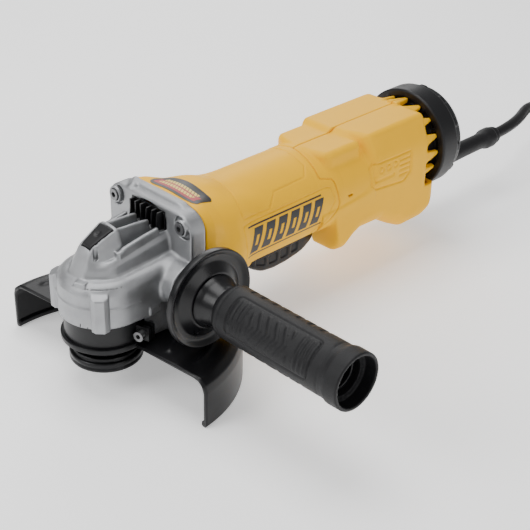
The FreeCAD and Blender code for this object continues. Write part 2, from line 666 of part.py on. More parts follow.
def make_rear_housing():
    shell = rear_form(0).cut(rear_form(WALL))
    for side in (-1, 1):
        boss = cylinder((PIVOT_X, side * 8.6, PIVOT_Z), Y * side, 4.6, 23.0)
        shell = shell.fuse(boss.common(rear_form(0)))
        shell = shell.cut(cylinder((PIVOT_X, side * 8.5, PIVOT_Z), Y * side, PIVOT_R + RUNNING, 8.5))
    shell = shell.cut(block(166, 181, -8.5, 8.5, 24, 41))
    for place in rear_screw_places():
        boss = cylinder((place[0], -32.0, place[2]), Y, 4.6, 64)
        shell = shell.fuse(boss.common(rear_form(0)))
        shell = shell.cut(cylinder((place[0], -14.0, place[2]), Y, 1.6, 41))
        shell = shell.cut(cylinder((place[0], place[1] + 56, place[2]), Y, 3.2, 10))
    for k in range(16):
        angle = math.radians(22.5 * k + 11.25)
        slot = block(264.0, REAR_X1 + 1, -3.4, 3.4, 29.5, 50.0)
        slot.rotate(Vector(0, 0, 0), X, math.degrees(angle))
        slot.translate(Vector(0, 0, CAP_Z))
        shell = shell.cut(slot.common(block(260, 280, -REAR_HALF_Y, REAR_HALF_Y, 42, 97)))
    shell = shell.cut(cylinder((REAR_X1 - WALL - 1, 0, CAP_Z), X, 27.0, WALL + 2))
    shell = shell.cut(cylinder((REAR_X1 - 7, 0, CORD_Z), X, 6.0, 10))
    return shell.cut(block(179.5, 184.0, -40, -28, 61.2, 62.8))


def rear_screw_places():
    return [(192.0, -30.0, 46.0), (232.0, -30.0, 38.0), (254.0, -30.0, 48.0), (200.0, -30.0, 87.0)]


def make_rear_housing_left():
    return make_rear_housing().common(block(100, 300, -60, -0.02, -20, 120))


def make_rear_housing_right():
    return make_rear_housing().common(block(100, 300, 0.02, 60, -20, 120))


def make_housing_screws():
    screws = []
    for x, y, z in rear_screw_places():
        screws.append(screw((x, REAR_HALF_Y - 5.0, z), Y * -1, 3.0, 2.0, 1.5, 38.0, 1.5))
    return Part.makeCompound(screws)


def make_rear_cap():
    outer = turned([
        (0, CAP_X0), (CAP_R, CAP_X0), (CAP_R, CAP_X1), (35.0, 293.0), (31.0, 299.0), (24.0, CAP_DOME_X),
        (0, CAP_DOME_X),
    ], "X", (0, 0, CAP_Z))
    inner = turned([
        (0, CAP_X0 - 1), (34.4, CAP_X0 - 1), (34.4, 289.0), (32.6, 291.6), (28.8, 297.0), (22.5, 301.4),
        (0, 301.4),
    ], "X", (0, 0, CAP_Z))
    chin = cylinder((280.0, 0, CORD_Z), X, 9.5, 24.0)
    cap = outer.fuse(chin).cut(inner)
    for k in range(9):
        rib = block(295.0, CAP_DOME_X + 1.2, -1.0, 1.0, CAP_Z - 24, CAP_Z + 24)
        rib.translate(Vector(0, -20 + 5 * k, 0))
        cap = cap.cut(rib.common(block(CAP_DOME_X - 0.8, CAP_DOME_X + 2, -22, 22, 56, 84)))
    for angle in (30, 90, 150, 210, 330):
        spoke = block(CAP_X0, 284.0, -1.6, 1.6, 30.0, 35.0)
        spoke.rotate(Vector(0, 0, 0), X, angle - 90)
        spoke.translate(Vector(0, 0, CAP_Z))
        cap = cap.fuse(spoke)
    cap = cap.cut(cylinder((270.0, 0, CORD_Z), X, 6.6, 40))
    return cap.removeSplitter()


# ---- switch, paddle and electronics -------------------------------------------------
PLUNGER_X, PLUNGER_R = 135.0, 3.0
PADDLE_HALF_Y = 17.0
PLUNGER_TIP_Z, PLUNGER_TOP_Z = 22.5, 50.0


def make_switch_body():
    body = rounded_bar(127.6, 157.0, 12.0, 46.2, 74.0, 2.0)
    body = body.cut(cylinder((PLUNGER_X, 0, 46), Z, PLUNGER_R + 0.1, 10.5))
    for y in (-8.0, 0.0, 8.0):
        body = body.fuse(block(157.0, 162.0, y - 2, y + 2, 66.0, 66.8))
    return body


def make_switch_plunger():
    return cylinder((PLUNGER_X, 0, PLUNGER_TIP_Z), Z, PLUNGER_R, PLUNGER_TOP_Z - PLUNGER_TIP_Z)


def make_switch_spring():
    return coil_spring((PLUNGER_X, 0, PLUNGER_TOP_Z), Z, 2.2, 0.35, 6.5, 4)


def make_paddle_lever():
    outer = [
        (103.0, 34.0), (104.5, 30.5), (110.0, 25.0), (118.0, 20.8), (128.0, 19.2), (140.0, 19.6),
        (152.0, 21.4), (162.0, 24.4), (167.5, 28.0), (167.5, 37.5), (103.5, 34.8),
    ]
    hollow = [
        (107.0, 40.0), (107.0, 31.6), (111.5, 27.2), (119.0, 23.2), (128.5, 21.6), (140.0, 22.0),
        (151.5, 23.8), (161.0, 26.6), (164.8, 29.2), (164.8, 40.0),
    ]
    lever = side_prism(outer, PADDLE_HALF_Y).cut(side_prism(hollow, PADDLE_HALF_Y - 2.4))
    arm = block(164.0, PIVOT_X, -7.8, 7.8, PIVOT_Z - 3.6, PIVOT_Z + 3.6)
    arm = arm.fuse(cylinder((PIVOT_X, -7.8, PIVOT_Z), Y, 3.6, 15.6))
    lever = lever.fuse(arm)
    lever = lever.cut(cylinder((PIVOT_X, -9, PIVOT_Z), Y, PIVOT_R, 18))
    lever = lever.cut(block(LOCK_OFF_X - 13.0, LOCK_OFF_X + 3.4, -4.4, 4.4, 18, 27))
    for side in (-1, 1):
        ear = block(LOCK_OFF_X - 3, LOCK_OFF_X + 3, side * 6.2 - 1.4, side * 6.2 + 1.4, 23.0, 31.0)
        lever = lever.fuse(ear)
    lever = lever.cut(cylinder((LOCK_OFF_X, -9, LOCK_OFF_Z), Y, 1.3, 18))
    return lever


LOCK_OFF_X, LOCK_OFF_Z = 152.0, 28.0


def make_lock_off_lever():
    outline = [
        (LOCK_OFF_X - 6.4, 17.0), (LOCK_OFF_X - 3.6, 17.0), (LOCK_OFF_X + 2.6, 25.6),
        (LOCK_OFF_X + 2.6, 30.6), (LOCK_OFF_X - 2.6, 30.6), (LOCK_OFF_X - 2.6, 26.0),
    ]
    return side_prism(outline, 4.0).cut(cylinder((LOCK_OFF_X, -9, LOCK_OFF_Z), Y, 1.3, 18))


def make_paddle_pins():
    """The paddle's own pivot pin and the small one that carries the lock-off lever."""
    pivot = cylinder((PIVOT_X, -16.5, PIVOT_Z), Y, PIVOT_R, 33.0)
    small = cylinder((LOCK_OFF_X, -7.6, LOCK_OFF_Z), Y, 1.3 - RUNNING, 15.2)
    return Part.makeCompound([pivot, small])


def make_control_module():
    board = block(196.0, 246.0, -22.0, 22.0, 50.0, 51.6)
    case = rounded_bar(200.0, 240.0, 20.0, 51.6, 70.0, 3.0)
    module = board.fuse(case)
    for y in (-14.0, 0.0, 14.0):
        module = module.fuse(cylinder((248.0 - 5, y, 51.6), Z, 3.0, 9.0))
    return module


def make_lead_wires():
    """Insulated leads from the switch to the electronics, laid in straight channels."""
    wires = []
    for y in (-8.0, 0.0, 8.0):
        wires.append(cylinder((162.2, y, 66.4), X, 1.3, 37.6))
    return Part.makeCompound(wires)


# ---- strain relief, clamp, cord and plug --------------------------------------------
def make_strain_relief():
    outline = [
        (CORD_R, 263.0), (8.6, 263.0), (8.6, 266.2), (6.0, 266.2), (6.0, 304.0), (8.2, 304.0),
        (8.2, 308.0), (7.0, 310.0), (6.1, 380.0), (8.0, 383.0), (8.0, 388.0), (6.6, BELL_X),
        (CORD_R, BELL_X),
    ]
    return turned(outline, "X", (0, 0, CORD_Z))


def make_cord_inside():
    """The stretch of cord that the strain relief and the clamp hold."""
    return cylinder((250.0, 0, CORD_Z), X, CORD_R, BELL_X - 250.0)


def make_cord_clamp():
    bar = block(256.0, 262.0, -14.0, 14.0, CORD_Z + CORD_R, CORD_Z + 7.5)
    for side in (-1, 1):
        bar = bar.cut(cylinder((259.0, side * 10.5, CORD_Z), Z, 1.6, 10))
    return bar


def make_cord_clamp_screws():
    places = [(259.0, side * 10.5, CORD_Z + 9.5) for side in (-1, 1)]
    return Part.makeCompound([screw(p, Z * -1, 3.0, 2.0, 1.5, 11.0, 1.5) for p in places])


COIL_X, COIL_Y = 575.0, -45.0
COIL_TURN_R = 60.7
COIL_INNER_R = 23.6
CORD_FLOOR_Z = FLOOR_Z + CORD_R

# Route of the free cord from the strain relief to the coil, one point per change of direction.
CORD_ROUTE = [
    (BELL_X, 0.0, CORD_Z), (418.0, 0.0, CORD_Z), (466.0, 19.0, 32.0), (508.0, 22.0, 10.0),
    (540.0, COIL_Y + COIL_TURN_R, CORD_FLOOR_Z), (COIL_X, COIL_Y + COIL_TURN_R, CORD_FLOOR_Z),
]


def rounded_path(points):
    """Straight runs joined by tangent arcs, each as large as its two runs allow."""
    corners = [Vector(*p) for p in points]
    edges = []
    start = corners[0]
    radii = []
    for before, corner, after in zip(corners, corners[1:], corners[2:]):
        into = (corner - before).normalize()
        out = (after - corner).normalize()
        half_turn = into.getAngle(out) / 2
        reach = 0.45 * min((corner - before).Length, (after - corner).Length)
        radii.append(round(reach / math.tan(half_turn), 1))
        enter = corner - into * reach
        leave = corner + out * reach
        sideways = (out - into).normalize()
        radius = reach / math.tan(half_turn)
        middle = corner + sideways * (radius / math.cos(half_turn) - radius)
        edges.append(Part.LineSegment(start, enter).toShape())
        edges.append(Part.Arc(enter, middle, leave).toShape())
        start = leave
    edges.append(Part.LineSegment(start, corners[-1]).toShape())
    return Part.Wire(edges), radii


def make_power_cord():
    path, radii = rounded_path(CORD_ROUTE)
    print("cord radii", radii, "run length", round(path.Length, 1))
    first = Vector(*CORD_ROUTE[1]) - Vector(*CORD_ROUTE[0])
    section = Part.Wire(Part.makeCircle(CORD_R, Vector(*CORD_ROUTE[0]), first))
    cord = path.makePipeShell([section], True, False)
    expected = math.pi * CORD_R**2 * path.Length
    print("cord volume over section times length", round(cord.Volume / expected, 4))
    return cord


PLUG_ANGLE = math.radians(-54)      # where the last turn leaves the coil
PLUG_START = 38.0                   # from there to the plug's own strain relief
TOP_TURN_Z = FLOOR_Z + 3 * CORD_R


def plug_frame(shape):
    """Moves a shape built along +X from the origin to the end of the coil's last turn."""
    heading = math.degrees(math.atan2(-math.cos(PLUG_ANGLE), math.sin(PLUG_ANGLE)))
    shape.rotate(Vector(0, 0, 0), Z, heading)
    shape.translate(Vector(
        COIL_X + COIL_TURN_R * math.cos(PLUG_ANGLE), COIL_Y + COIL_TURN_R * math.sin(PLUG_ANGLE), TOP_TURN_Z,
    ))
    return shape


def make_cord_coil():
    outer = COIL_TURN_R + CORD_R
    ring = tube((COIL_X, COIL_Y, FLOOR_Z), Z, outer, COIL_INNER_R, 4 * CORD_R)
    tail = plug_frame(cylinder((0, 0, 0), X, CORD_R, PLUG_START))
    return ring.fuse(tail)


PLUG_HALF_H = TOP_TURN_Z - FLOOR_Z


def make_plug_body():
    relief = turned([(0, PLUG_START), (5.6, PLUG_START), (7.2, PLUG_START + 24), (0, PLUG_START + 24)], "X")
    grip = rounded_bar(PLUG_START + 24, PLUG_START + 50, 12.5, -PLUG_HALF_H, PLUG_HALF_H, 7.0)
    face = rounded_bar(PLUG_START + 50, PLUG_START + 56, 14.0, -PLUG_HALF_H, PLUG_HALF_H, 9.0)
    return plug_frame(relief.fuse(grip).fuse(face))


def make_plug_blades():
    """Two flat blades and a round earth pin."""
    x0 = PLUG_START + 56
    blades = [block(x0, x0 + 17, y - 0.75, y + 0.75, -4.5, 1.8) for y in (-6.35, 6.35)]
    earth = cylinder((x0, 0, 8.0), X, 2.4, 17.0)
    tip = Part.makeSphere(2.4, Vector(x0 + 17.0, 0, 8.0))
    return plug_frame(Part.makeCompound(blades + [earth.fuse(tip)]))


# ---- side handle --------------------------------------------------------------------
def on_handle_axis(points):
    """Turned solid: points are (radius, distance out from the handle's base plane)."""
    return turned([(r, -HANDLE_BASE_Y - d) for r, d in points], "Y", (HANDLE_X, 0, HANDLE_Z))


FLANGE_OUT = 22.0            # outer face of the hand guard
CORE_D = 24.0                # the hard core starts here
HANDLE_LENGTH = -HANDLE_BASE_Y - HANDLE_END_Y


def make_side_handle_flange():
    """Hub and hand guard: a dished disc between the gear case and the grip."""
    return on_handle_axis([
        (HANDLE_THREAD_R, 2.7), (11.5, 2.7), (11.5, 4.0), (14.5, 6.0), (14.5, 12.0), (31.05, 17.0),
        (31.05, FLANGE_OUT), (29.0, FLANGE_OUT), (24.0, 20.0), (16.8, CORE_D), (HANDLE_THREAD_R, CORE_D),
    ])


def make_side_handle_core():
    """Hard tube under the grip; its bore is open at the far end."""
    return on_handle_axis([
        (HANDLE_THREAD_R, CORE_D), (16.8, CORE_D), (13.2, 34.0), (12.0, 36.0), (12.0, 122.0),
        (9.5, 122.0), (9.5, 52.0), (HANDLE_THREAD_R, 52.0),
    ])


def make_side_handle_grip():
    outline = [
        (12.0, 36.4), (13.6, 36.4), (16.4, 40.0), (16.4, 122.0), (17.4, 124.5), (17.4, HANDLE_LENGTH - 1.5),
        (16.4, HANDLE_LENGTH), (15.2, HANDLE_LENGTH), (15.2, 126.0), (12.0, 126.0),
    ]
    grip = on_handle_axis(outline)
    ring_groove = on_handle_axis([(15.6, 43.0), (18.0, 43.0), (18.0, 44.4), (15.6, 44.4)])
    return grip.cut(ring_groove)


def make_side_handle_stud():
    """Stud moulded into the handle: its thread fills the socket's mouth."""
    return on_handle_axis([(0, -14.0), (HANDLE_THREAD_R, -14.0), (HANDLE_THREAD_R, 48.0), (0, 48.0)])


# ---- guard --------------------------------------------------------------------------
def guard_sector(points):
    shape = turned(points, "Z", sweep=GUARD_SWEEP)
    shape.rotate(Vector(0, 0, 0), Z, GUARD_START)
    return shape


def make_guard_shell():
    top = GUARD_PLATE_Z
    plate = guard_sector([
        (24.0, top - GUARD_T), (74.0, top - GUARD_T), (79.0, top - GUARD_T - 1.5),
        (GUARD_R - GUARD_T, top - 8.0), (GUARD_R - GUARD_T, FLOOR_Z), (GUARD_R, FLOOR_Z),
        (GUARD_R, top - 7.0), (80.5, top - 2.0), (76.0, top), (24.0, top),
    ])
    hub = turned([
        (RETAINER_NECK_R + GAP, top - GUARD_T), (26.8, top - GUARD_T), (26.8, GUARD_HUB_Z),
        (RETAINER_NECK_R + GAP, GUARD_HUB_Z),
    ], "Z")
    return plate.cut(cylinder((0, 0, 0), Z, 25.0, 40)).fuse(hub)


GUARD_SCREW_ANGLE = -72.0
CLAMP_BOLT_R = 28.5                 # distance of the clamp bolt from the spindle axis
COLLAR_H = CASE_BOTTOM_Z - GAP - GUARD_HUB_Z


def make_guard_collar():
    """Split band welded on the guard, with two ears for its clamp bolt."""
    collar = tube((0, 0, GUARD_HUB_Z), Z, 24.6, RETAINER_NECK_R + RUNNING, COLLAR_H)
    collar = collar.cut(block(0, 40, -0.9, 0.9, 20, 50))
    for side in (-1, 1):
        y0, y1 = sorted((side * 0.9, side * 3.4))
        ear = block(22.6, 33.0, y0, y1, GUARD_HUB_Z + 1.0, GUARD_HUB_Z + 10.0)
        collar = collar.fuse(ear.cut(cylinder((CLAMP_BOLT_R, -10, GUARD_HUB_Z + 5.5), Y, 2.0, 20)))
    collar = collar.cut(cylinder((0, 0, 20), Z, RETAINER_NECK_R + RUNNING, 30))
    collar.rotate(Vector(0, 0, 0), Z, GUARD_SCREW_ANGLE)
    return collar


def make_guard_clamp_screw():
    middle_z = GUARD_HUB_Z + 5.5
    bolt = screw((CLAMP_BOLT_R, -8.0, middle_z), Y, 3.2, 4.6, 2.0, 10.0, 1.6)
    bolt = bolt.fuse(hexagon((CLAMP_BOLT_R, 3.4, middle_z), Y, 6.5, 3.0))
    bolt.rotate(Vector(0, 0, 0), Z, GUARD_SCREW_ANGLE)
    return bolt


# ---- labels -------------------------------------------------------------------------
def make_top_label():
    """Film over the crown of the flare and the flat shoulders beside it."""
    film = block(51.5, 64.5, -24.0, 16.0, FLANGE_Z1 - 0.5, MOTOR_Z + FLARE_R + 0.3)
    return film.cut(cylinder((FLANGE_X1, 0, MOTOR_Z), X, FLARE_R, 20.0))


MAKERS = {
    "gear_case": make_gear_case,
    "gear_case_screws": make_gear_case_screws,
    "bearing_retainer": make_bearing_retainer,
    "retainer_screws": make_retainer_screws,
    "spindle_bearing": lambda: ball_bearing((0, 0, BEARING_Z0), Z, 7.5, 17.5, BEARING_Z1 - BEARING_Z0),
    "spindle_seal": make_spindle_seal,
    "spindle_top_bearing": make_top_bearing,
    "spindle": make_spindle,
    "ring_gear": make_ring_gear,
    "retaining_ring": make_retaining_ring,
    "backing_flange": make_backing_flange,
    "clamp_nut": make_clamp_nut,
    "lock_button": make_lock_button,
    "lock_pin": make_lock_pin,
    "lock_spring": make_lock_spring,
    "armature_front_bearing": lambda: ball_bearing((FRONT_BEARING_X0, 0, MOTOR_Z), X, 5.0, 13.0, 8.0),
    "armature_rear_bearing": lambda: ball_bearing((REAR_BEARING_X0, 0, MOTOR_Z), X, 4.0, 11.0, 7.0),
    "bearing_sleeve": make_bearing_sleeve,
    "armature_shaft": make_armature_shaft,
    "armature_core": make_armature_core,
    "armature_windings": make_armature_windings,
    "commutator": make_commutator,
    "cooling_fan": make_cooling_fan,
    "pinion": make_pinion,
    "pinion_nut": make_pinion_nut,
    "stator_core": make_stator_core,
    "field_windings": make_field_windings,
    "brush_holders": make_brush_holders,
    "carbon_brushes": make_carbon_brushes,
    "brush_springs": make_brush_springs,
    "fan_baffle": make_fan_baffle,
    "motor_housing": make_motor_housing,
    "rear_housing_left": make_rear_housing_left,
    "rear_housing_right": make_rear_housing_right,
    "housing_screws": make_housing_screws,
    "rear_cap": make_rear_cap,
    "switch_body": make_switch_body,
    "switch_plunger": make_switch_plunger,
    "switch_spring": make_switch_spring,
    "paddle_lever": make_paddle_lever,
    "paddle_pins": make_paddle_pins,
    "lock_off_lever": make_lock_off_lever,
    "control_module": make_control_module,
    "lead_wires": make_lead_wires,
    "strain_relief": make_strain_relief,
    "cord_clamp": make_cord_clamp,
    "cord_clamp_screws": make_cord_clamp_screws,
    "cord_inside": make_cord_inside,
    "power_cord": make_power_cord,
    "cord_coil": make_cord_coil,
    "plug_body": make_plug_body,
    "plug_blades": make_plug_blades,
    "side_handle_flange": make_side_handle_flange,
    "side_handle_core": make_side_handle_core,
    "side_handle_grip": make_side_handle_grip,
    "side_handle_stud": make_side_handle_stud,
    "guard_shell": make_guard_shell,
    "guard_collar": make_guard_collar,
    "guard_clamp_screw": make_guard_clamp_screw,
    "top_label": make_top_label,
}

os.makedirs("parts", exist_ok=True)
for name, make in MAKERS.items():
    save(name, make())
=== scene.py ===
import json
import math
from functools import reduce
from itertools import product

import bmesh
import bpy
import numpy as np
from mathutils import Matrix, Vector


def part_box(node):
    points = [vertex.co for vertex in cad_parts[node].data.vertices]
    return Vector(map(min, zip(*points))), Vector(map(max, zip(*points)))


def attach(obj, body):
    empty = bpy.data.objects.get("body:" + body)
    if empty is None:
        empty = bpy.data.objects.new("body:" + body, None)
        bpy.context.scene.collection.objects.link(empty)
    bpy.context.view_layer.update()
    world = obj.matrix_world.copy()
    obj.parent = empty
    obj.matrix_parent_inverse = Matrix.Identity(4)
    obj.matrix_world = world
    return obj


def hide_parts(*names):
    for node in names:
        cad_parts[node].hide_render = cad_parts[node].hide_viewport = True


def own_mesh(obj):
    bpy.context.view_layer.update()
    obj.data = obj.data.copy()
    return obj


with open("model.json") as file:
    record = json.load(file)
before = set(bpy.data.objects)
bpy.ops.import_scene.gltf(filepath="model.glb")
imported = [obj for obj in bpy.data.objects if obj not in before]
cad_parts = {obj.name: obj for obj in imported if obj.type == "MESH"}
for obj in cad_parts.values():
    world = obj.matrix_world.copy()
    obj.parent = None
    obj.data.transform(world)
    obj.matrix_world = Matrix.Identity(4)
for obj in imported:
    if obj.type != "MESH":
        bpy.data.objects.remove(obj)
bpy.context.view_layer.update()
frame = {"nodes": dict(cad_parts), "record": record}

# Corded angle grinder. Lengths are millimetres in the row frame and are scaled by MM where a mesh is made:
# origin at the spindle's free end, +X back along the motor, +Z up, side handle towards -Y.
MM = 0.001
FLOOR_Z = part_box("guard_shell")[0][2] / MM
CELL = 0.8  # spacing of the grid that the moulded pieces are meshed on

# axes that several pieces share
MOTOR_Z = 60.0  # motor and barrel, along X
CAP_Z = 64.0  # rear cap and the fingers in front of it, along X
CORD_Z = 32.5  # strain relief and cord, along X
HANDLE_X, HANDLE_Z = 34.0, 55.0  # side handle, along Y
PIVOT_X, PIVOT_Z = 175.0, 33.0  # paddle pin, along Y
PLUNGER_X = 135.0  # switch plunger, along Z


# ---- distance functions: negative inside, on arrays of points ----
def length2(a, b):
    return np.sqrt(a * a + b * b)


def smooth_union(a, b, r):
    h = np.clip(0.5 + 0.5 * (b - a) / r, 0, 1)
    return b + (a - b) * h - r * h * (1 - h)


def smooth_cut(a, b, r):
    return -smooth_union(-a, b, r)


def smooth_common(a, b, r):
    return -smooth_union(-a, -b, r)


def common(*fields):
    return reduce(np.maximum, fields)


def cut(body, *limits):
    """body less the space where every limit is negative."""
    return np.maximum(body, -common(*limits))


def rounded(a, b, r):
    """Where two fields meet, an outer edge of radius r."""
    u, v = a + r, b + r
    return np.minimum(np.maximum(u, v), 0) + length2(np.maximum(u, 0), np.maximum(v, 0)) - r


def box2(u, v, half_u, half_v, r=0.0):
    du, dv = np.abs(u) - half_u + r, np.abs(v) - half_v + r
    return np.minimum(np.maximum(du, dv), 0) + length2(np.maximum(du, 0), np.maximum(dv, 0)) - r


def slab(u, lo, hi):
    return np.abs(u - (lo + hi) / 2) - (hi - lo) / 2


def block(x, y, z, box, r=0.5):
    """Box (x0, x1, y0, y1, z0, z1) with round edges."""
    q = [slab(c, box[2 * k], box[2 * k + 1]) + r for k, c in enumerate((x, y, z))]
    outside = np.sqrt(sum(np.maximum(c, 0) ** 2 for c in q))
    return np.minimum(np.maximum(np.maximum(q[0], q[1]), q[2]), 0) + outside - r


def capsule(x, y, z, a, b, r):
    """Rod with round ends from a to b."""
    ax, d = [x - a[0], y - a[1], z - a[2]], [b[k] - a[k] for k in range(3)]
    t = np.clip(sum(p * q for p, q in zip(ax, d)) / sum(q * q for q in d), 0, 1)
    return np.sqrt(sum((p - t * q) ** 2 for p, q in zip(ax, d))) - r


def profile(u, points):
    """Height of an outline, given as (place, height) pairs, at u."""
    places, heights = zip(*points)
    return np.interp(u, places, heights)


def smooth_profile(u, points, width):
    """The same outline with its corners rounded over a width."""
    steps = (-1.0, -0.5, 0.0, 0.5, 1.0)
    return sum(profile(u + width * s, points) for s in steps) / len(steps)


def u_plan(x, y, radius, side, x_side):
    """U-shaped plan: round nose about the origin, sides spreading from radius to side at x_side."""
    spread = radius + (side - radius) * np.clip(x / x_side, 0, 1)
    return np.where(x < 0, length2(x, y), np.abs(y)) - np.where(x < 0, radius, spread)


# ---- surface of a distance field ----
SLICES = 24  # grid layers evaluated at once, to save memory
MARGIN = 1.5  # grid beyond the box, in cells
DRAW_PASSES = 3  # times each point is drawn to the surface
PROBE, LONGEST_DRAW = 0.3, 0.4  # reach of the slope's probes and of one draw, in cells


def field_mesh(name, field, box, cell=CELL):
    """Closed quad mesh of field = 0 in box, by surface nets with the points then drawn to the surface."""
    lo = np.array([box[0], box[2], box[4]], float) - MARGIN * cell
    hi = np.array([box[1], box[3], box[5]], float) + MARGIN * cell
    counts = np.ceil((hi - lo) / cell).astype(int) + 1
    axes = [lo[k] + cell * np.arange(counts[k]) for k in range(3)]
    grid = np.empty(counts, np.float32)
    for start in range(0, counts[0], SLICES):
        part = np.meshgrid(axes[0][start:start + SLICES], axes[1], axes[2], indexing="ij")
        grid[start:start + SLICES] = field(*part)
    inside = grid < 0
    total = np.zeros([n - 1 for n in counts], int)
    for i, j, k in product((0, 1), repeat=3):
        total += inside[i:counts[0] - 1 + i, j:counts[1] - 1 + j, k:counts[2] - 1 + k]
    cells = np.argwhere((total > 0) & (total < 8))
    index = np.full(total.shape, -1)
    index[tuple(cells.T)] = np.arange(len(cells))
    middle = np.zeros((len(cells), 3))
    hits = np.zeros(len(cells))
    for axis in range(3):
        others = [k for k in range(3) if k != axis]
        for i, j in product((0, 1), repeat=2):
            a = cells.T.copy()
            a[others[0]] += i
            a[others[1]] += j
            b = a.copy()
            b[axis] += 1
            va, vb = grid[tuple(a)], grid[tuple(b)]
            cross = (va < 0) != (vb < 0)
            t = np.where(cross, va / np.where(cross, va - vb, 1), 0)
            for k in range(3):
                middle[:, k] += np.where(cross, a[k] + (t if k == axis else 0), 0)
            hits += cross
    points = lo + cell * middle / hits[:, None]
    small = PROBE * cell
    for _ in range(DRAW_PASSES):
        value = field(*points.T)
        slope = np.stack([
            field(*(points + small * np.eye(3)[k]).T) - field(*(points - small * np.eye(3)[k]).T)
            for k in range(3)
        ], 1) / (2 * small)
        step = -value[:, None] * slope / np.maximum((slope ** 2).sum(1), 0.25)[:, None]
        reach = np.linalg.norm(step, axis=1, keepdims=True)
        points += step * np.minimum(1, LONGEST_DRAW * cell / np.maximum(reach, 1e-9))
    quads = []
    for axis in range(3):
        u, v = (axis + 1) % 3, (axis + 2) % 3
        first, second = [slice(None)] * 3, [slice(None)] * 3
        first[axis], second[axis] = slice(0, -1), slice(1, None)
        change = inside[tuple(first)] != inside[tuple(second)]
        edges = np.argwhere(change)
        edges = edges[(edges[:, u] > 0) & (edges[:, v] > 0)]
        edges = edges[(edges[:, u] < counts[u] - 1) & (edges[:, v] < counts[v] - 1)]
        ring = []
        for du, dv in ((0, 0), (-1, 0), (-1, -1), (0, -1)):
            q = edges.copy()
            q[:, u] += du
            q[:, v] += dv
            ring.append(index[tuple(q.T)])
        ring = np.stack(ring, 1)
        flip = ~inside[tuple(edges.T)]
        ring[flip] = ring[flip][:, ::-1]
        quads.append(ring)
    quads = np.concatenate(quads)
    mesh = bpy.data.meshes.new(name)
    mesh.from_pydata((points * MM).tolist(), [], quads.tolist())
    mesh.polygons.foreach_set("use_smooth", np.ones(len(quads), bool))
    mesh.update()
    return bpy.data.objects.new(name, mesh)


# ---- pieces ----
def place(obj, slot, *nodes, body="housing", material=None):
    """Puts a piece in the scene on its CAD body, in its slot's finish or another material."""
    bpy.context.scene.collection.objects.link(obj)
    obj.data.materials.append(material or FINISH[slot])
    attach(obj, body)
    if nodes:
        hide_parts(*nodes)
    return obj


def lathe(name, outline, axis="Z", origin=(0, 0, 0), steps=96, rounding=0.5):
    """Turned piece: outline is (radius, height) pairs, its corners rounded."""
    ring = fillet(outline, rounding)
    bm = bmesh.new()
    columns = []
    for k in range(steps):
        a = 2 * math.pi * k / steps
        column = []
        for r, h in ring:
            p = {
                "X": (h, r * math.cos(a), r * math.sin(a)),
                "Y": (r * math.sin(a), h, r * math.cos(a)),
                "Z": (r * math.cos(a), r * math.sin(a), h),
            }[axis]
            column.append(bm.verts.new([(p[i] + origin[i]) * MM for i in range(3)]))
        columns.append(column)
    join_columns(bm, columns + columns[:1])
    return bm_object(name, bm)


def join_columns(bm, columns):
    """Quads between neighbouring closed rings of vertices."""
    for here, there in zip(columns[:-1], columns[1:]):
        for i in range(len(here)):
            j = (i + 1) % len(here)
            bm.faces.new((here[i], there[i], there[j], here[j]))


def join_capped(bm, columns):
    join_columns(bm, columns)
    bm.faces.new(columns[0])
    bm.faces.new(reversed(columns[-1]))


def bm_object(name, bm, smooth=True):
    bmesh.ops.recalc_face_normals(bm, faces=bm.faces)
    mesh = bpy.data.meshes.new(name)
    bm.to_mesh(mesh)
    bm.free()
    mesh.polygons.foreach_set("use_smooth", [smooth] * len(mesh.polygons))
    return bpy.data.objects.new(name, mesh)


def fillet(outline, radius, steps=3, sharp=()):
    """The closed outline with each corner cut round, apart from the sharp ones."""
    points = [Vector(p) for p in outline]
    out = []
    for k, p in enumerate(points):
        if tuple(p) in sharp:
            out.append(p)
            continue
        before, after = points[k - 1] - p, points[(k + 1) % len(points)] - p
        reach = min(radius, before.length * 0.45, after.length * 0.45)
        a, b = p + before.normalized() * reach, p + after.normalized() * reach
        for s in range(steps + 1):
            t = s / steps
            out.append(a * (1 - t) ** 2 + p * (2 * t * (1 - t)) + b * t ** 2)
    return [tuple(p) for p in out]


# ---- materials ----
GRAIN_DEPTH = 0.0004  # metres
EDGE_FROM, EDGE_TO = 0.53, 0.62  # pointiness at which the edge wear starts and is full


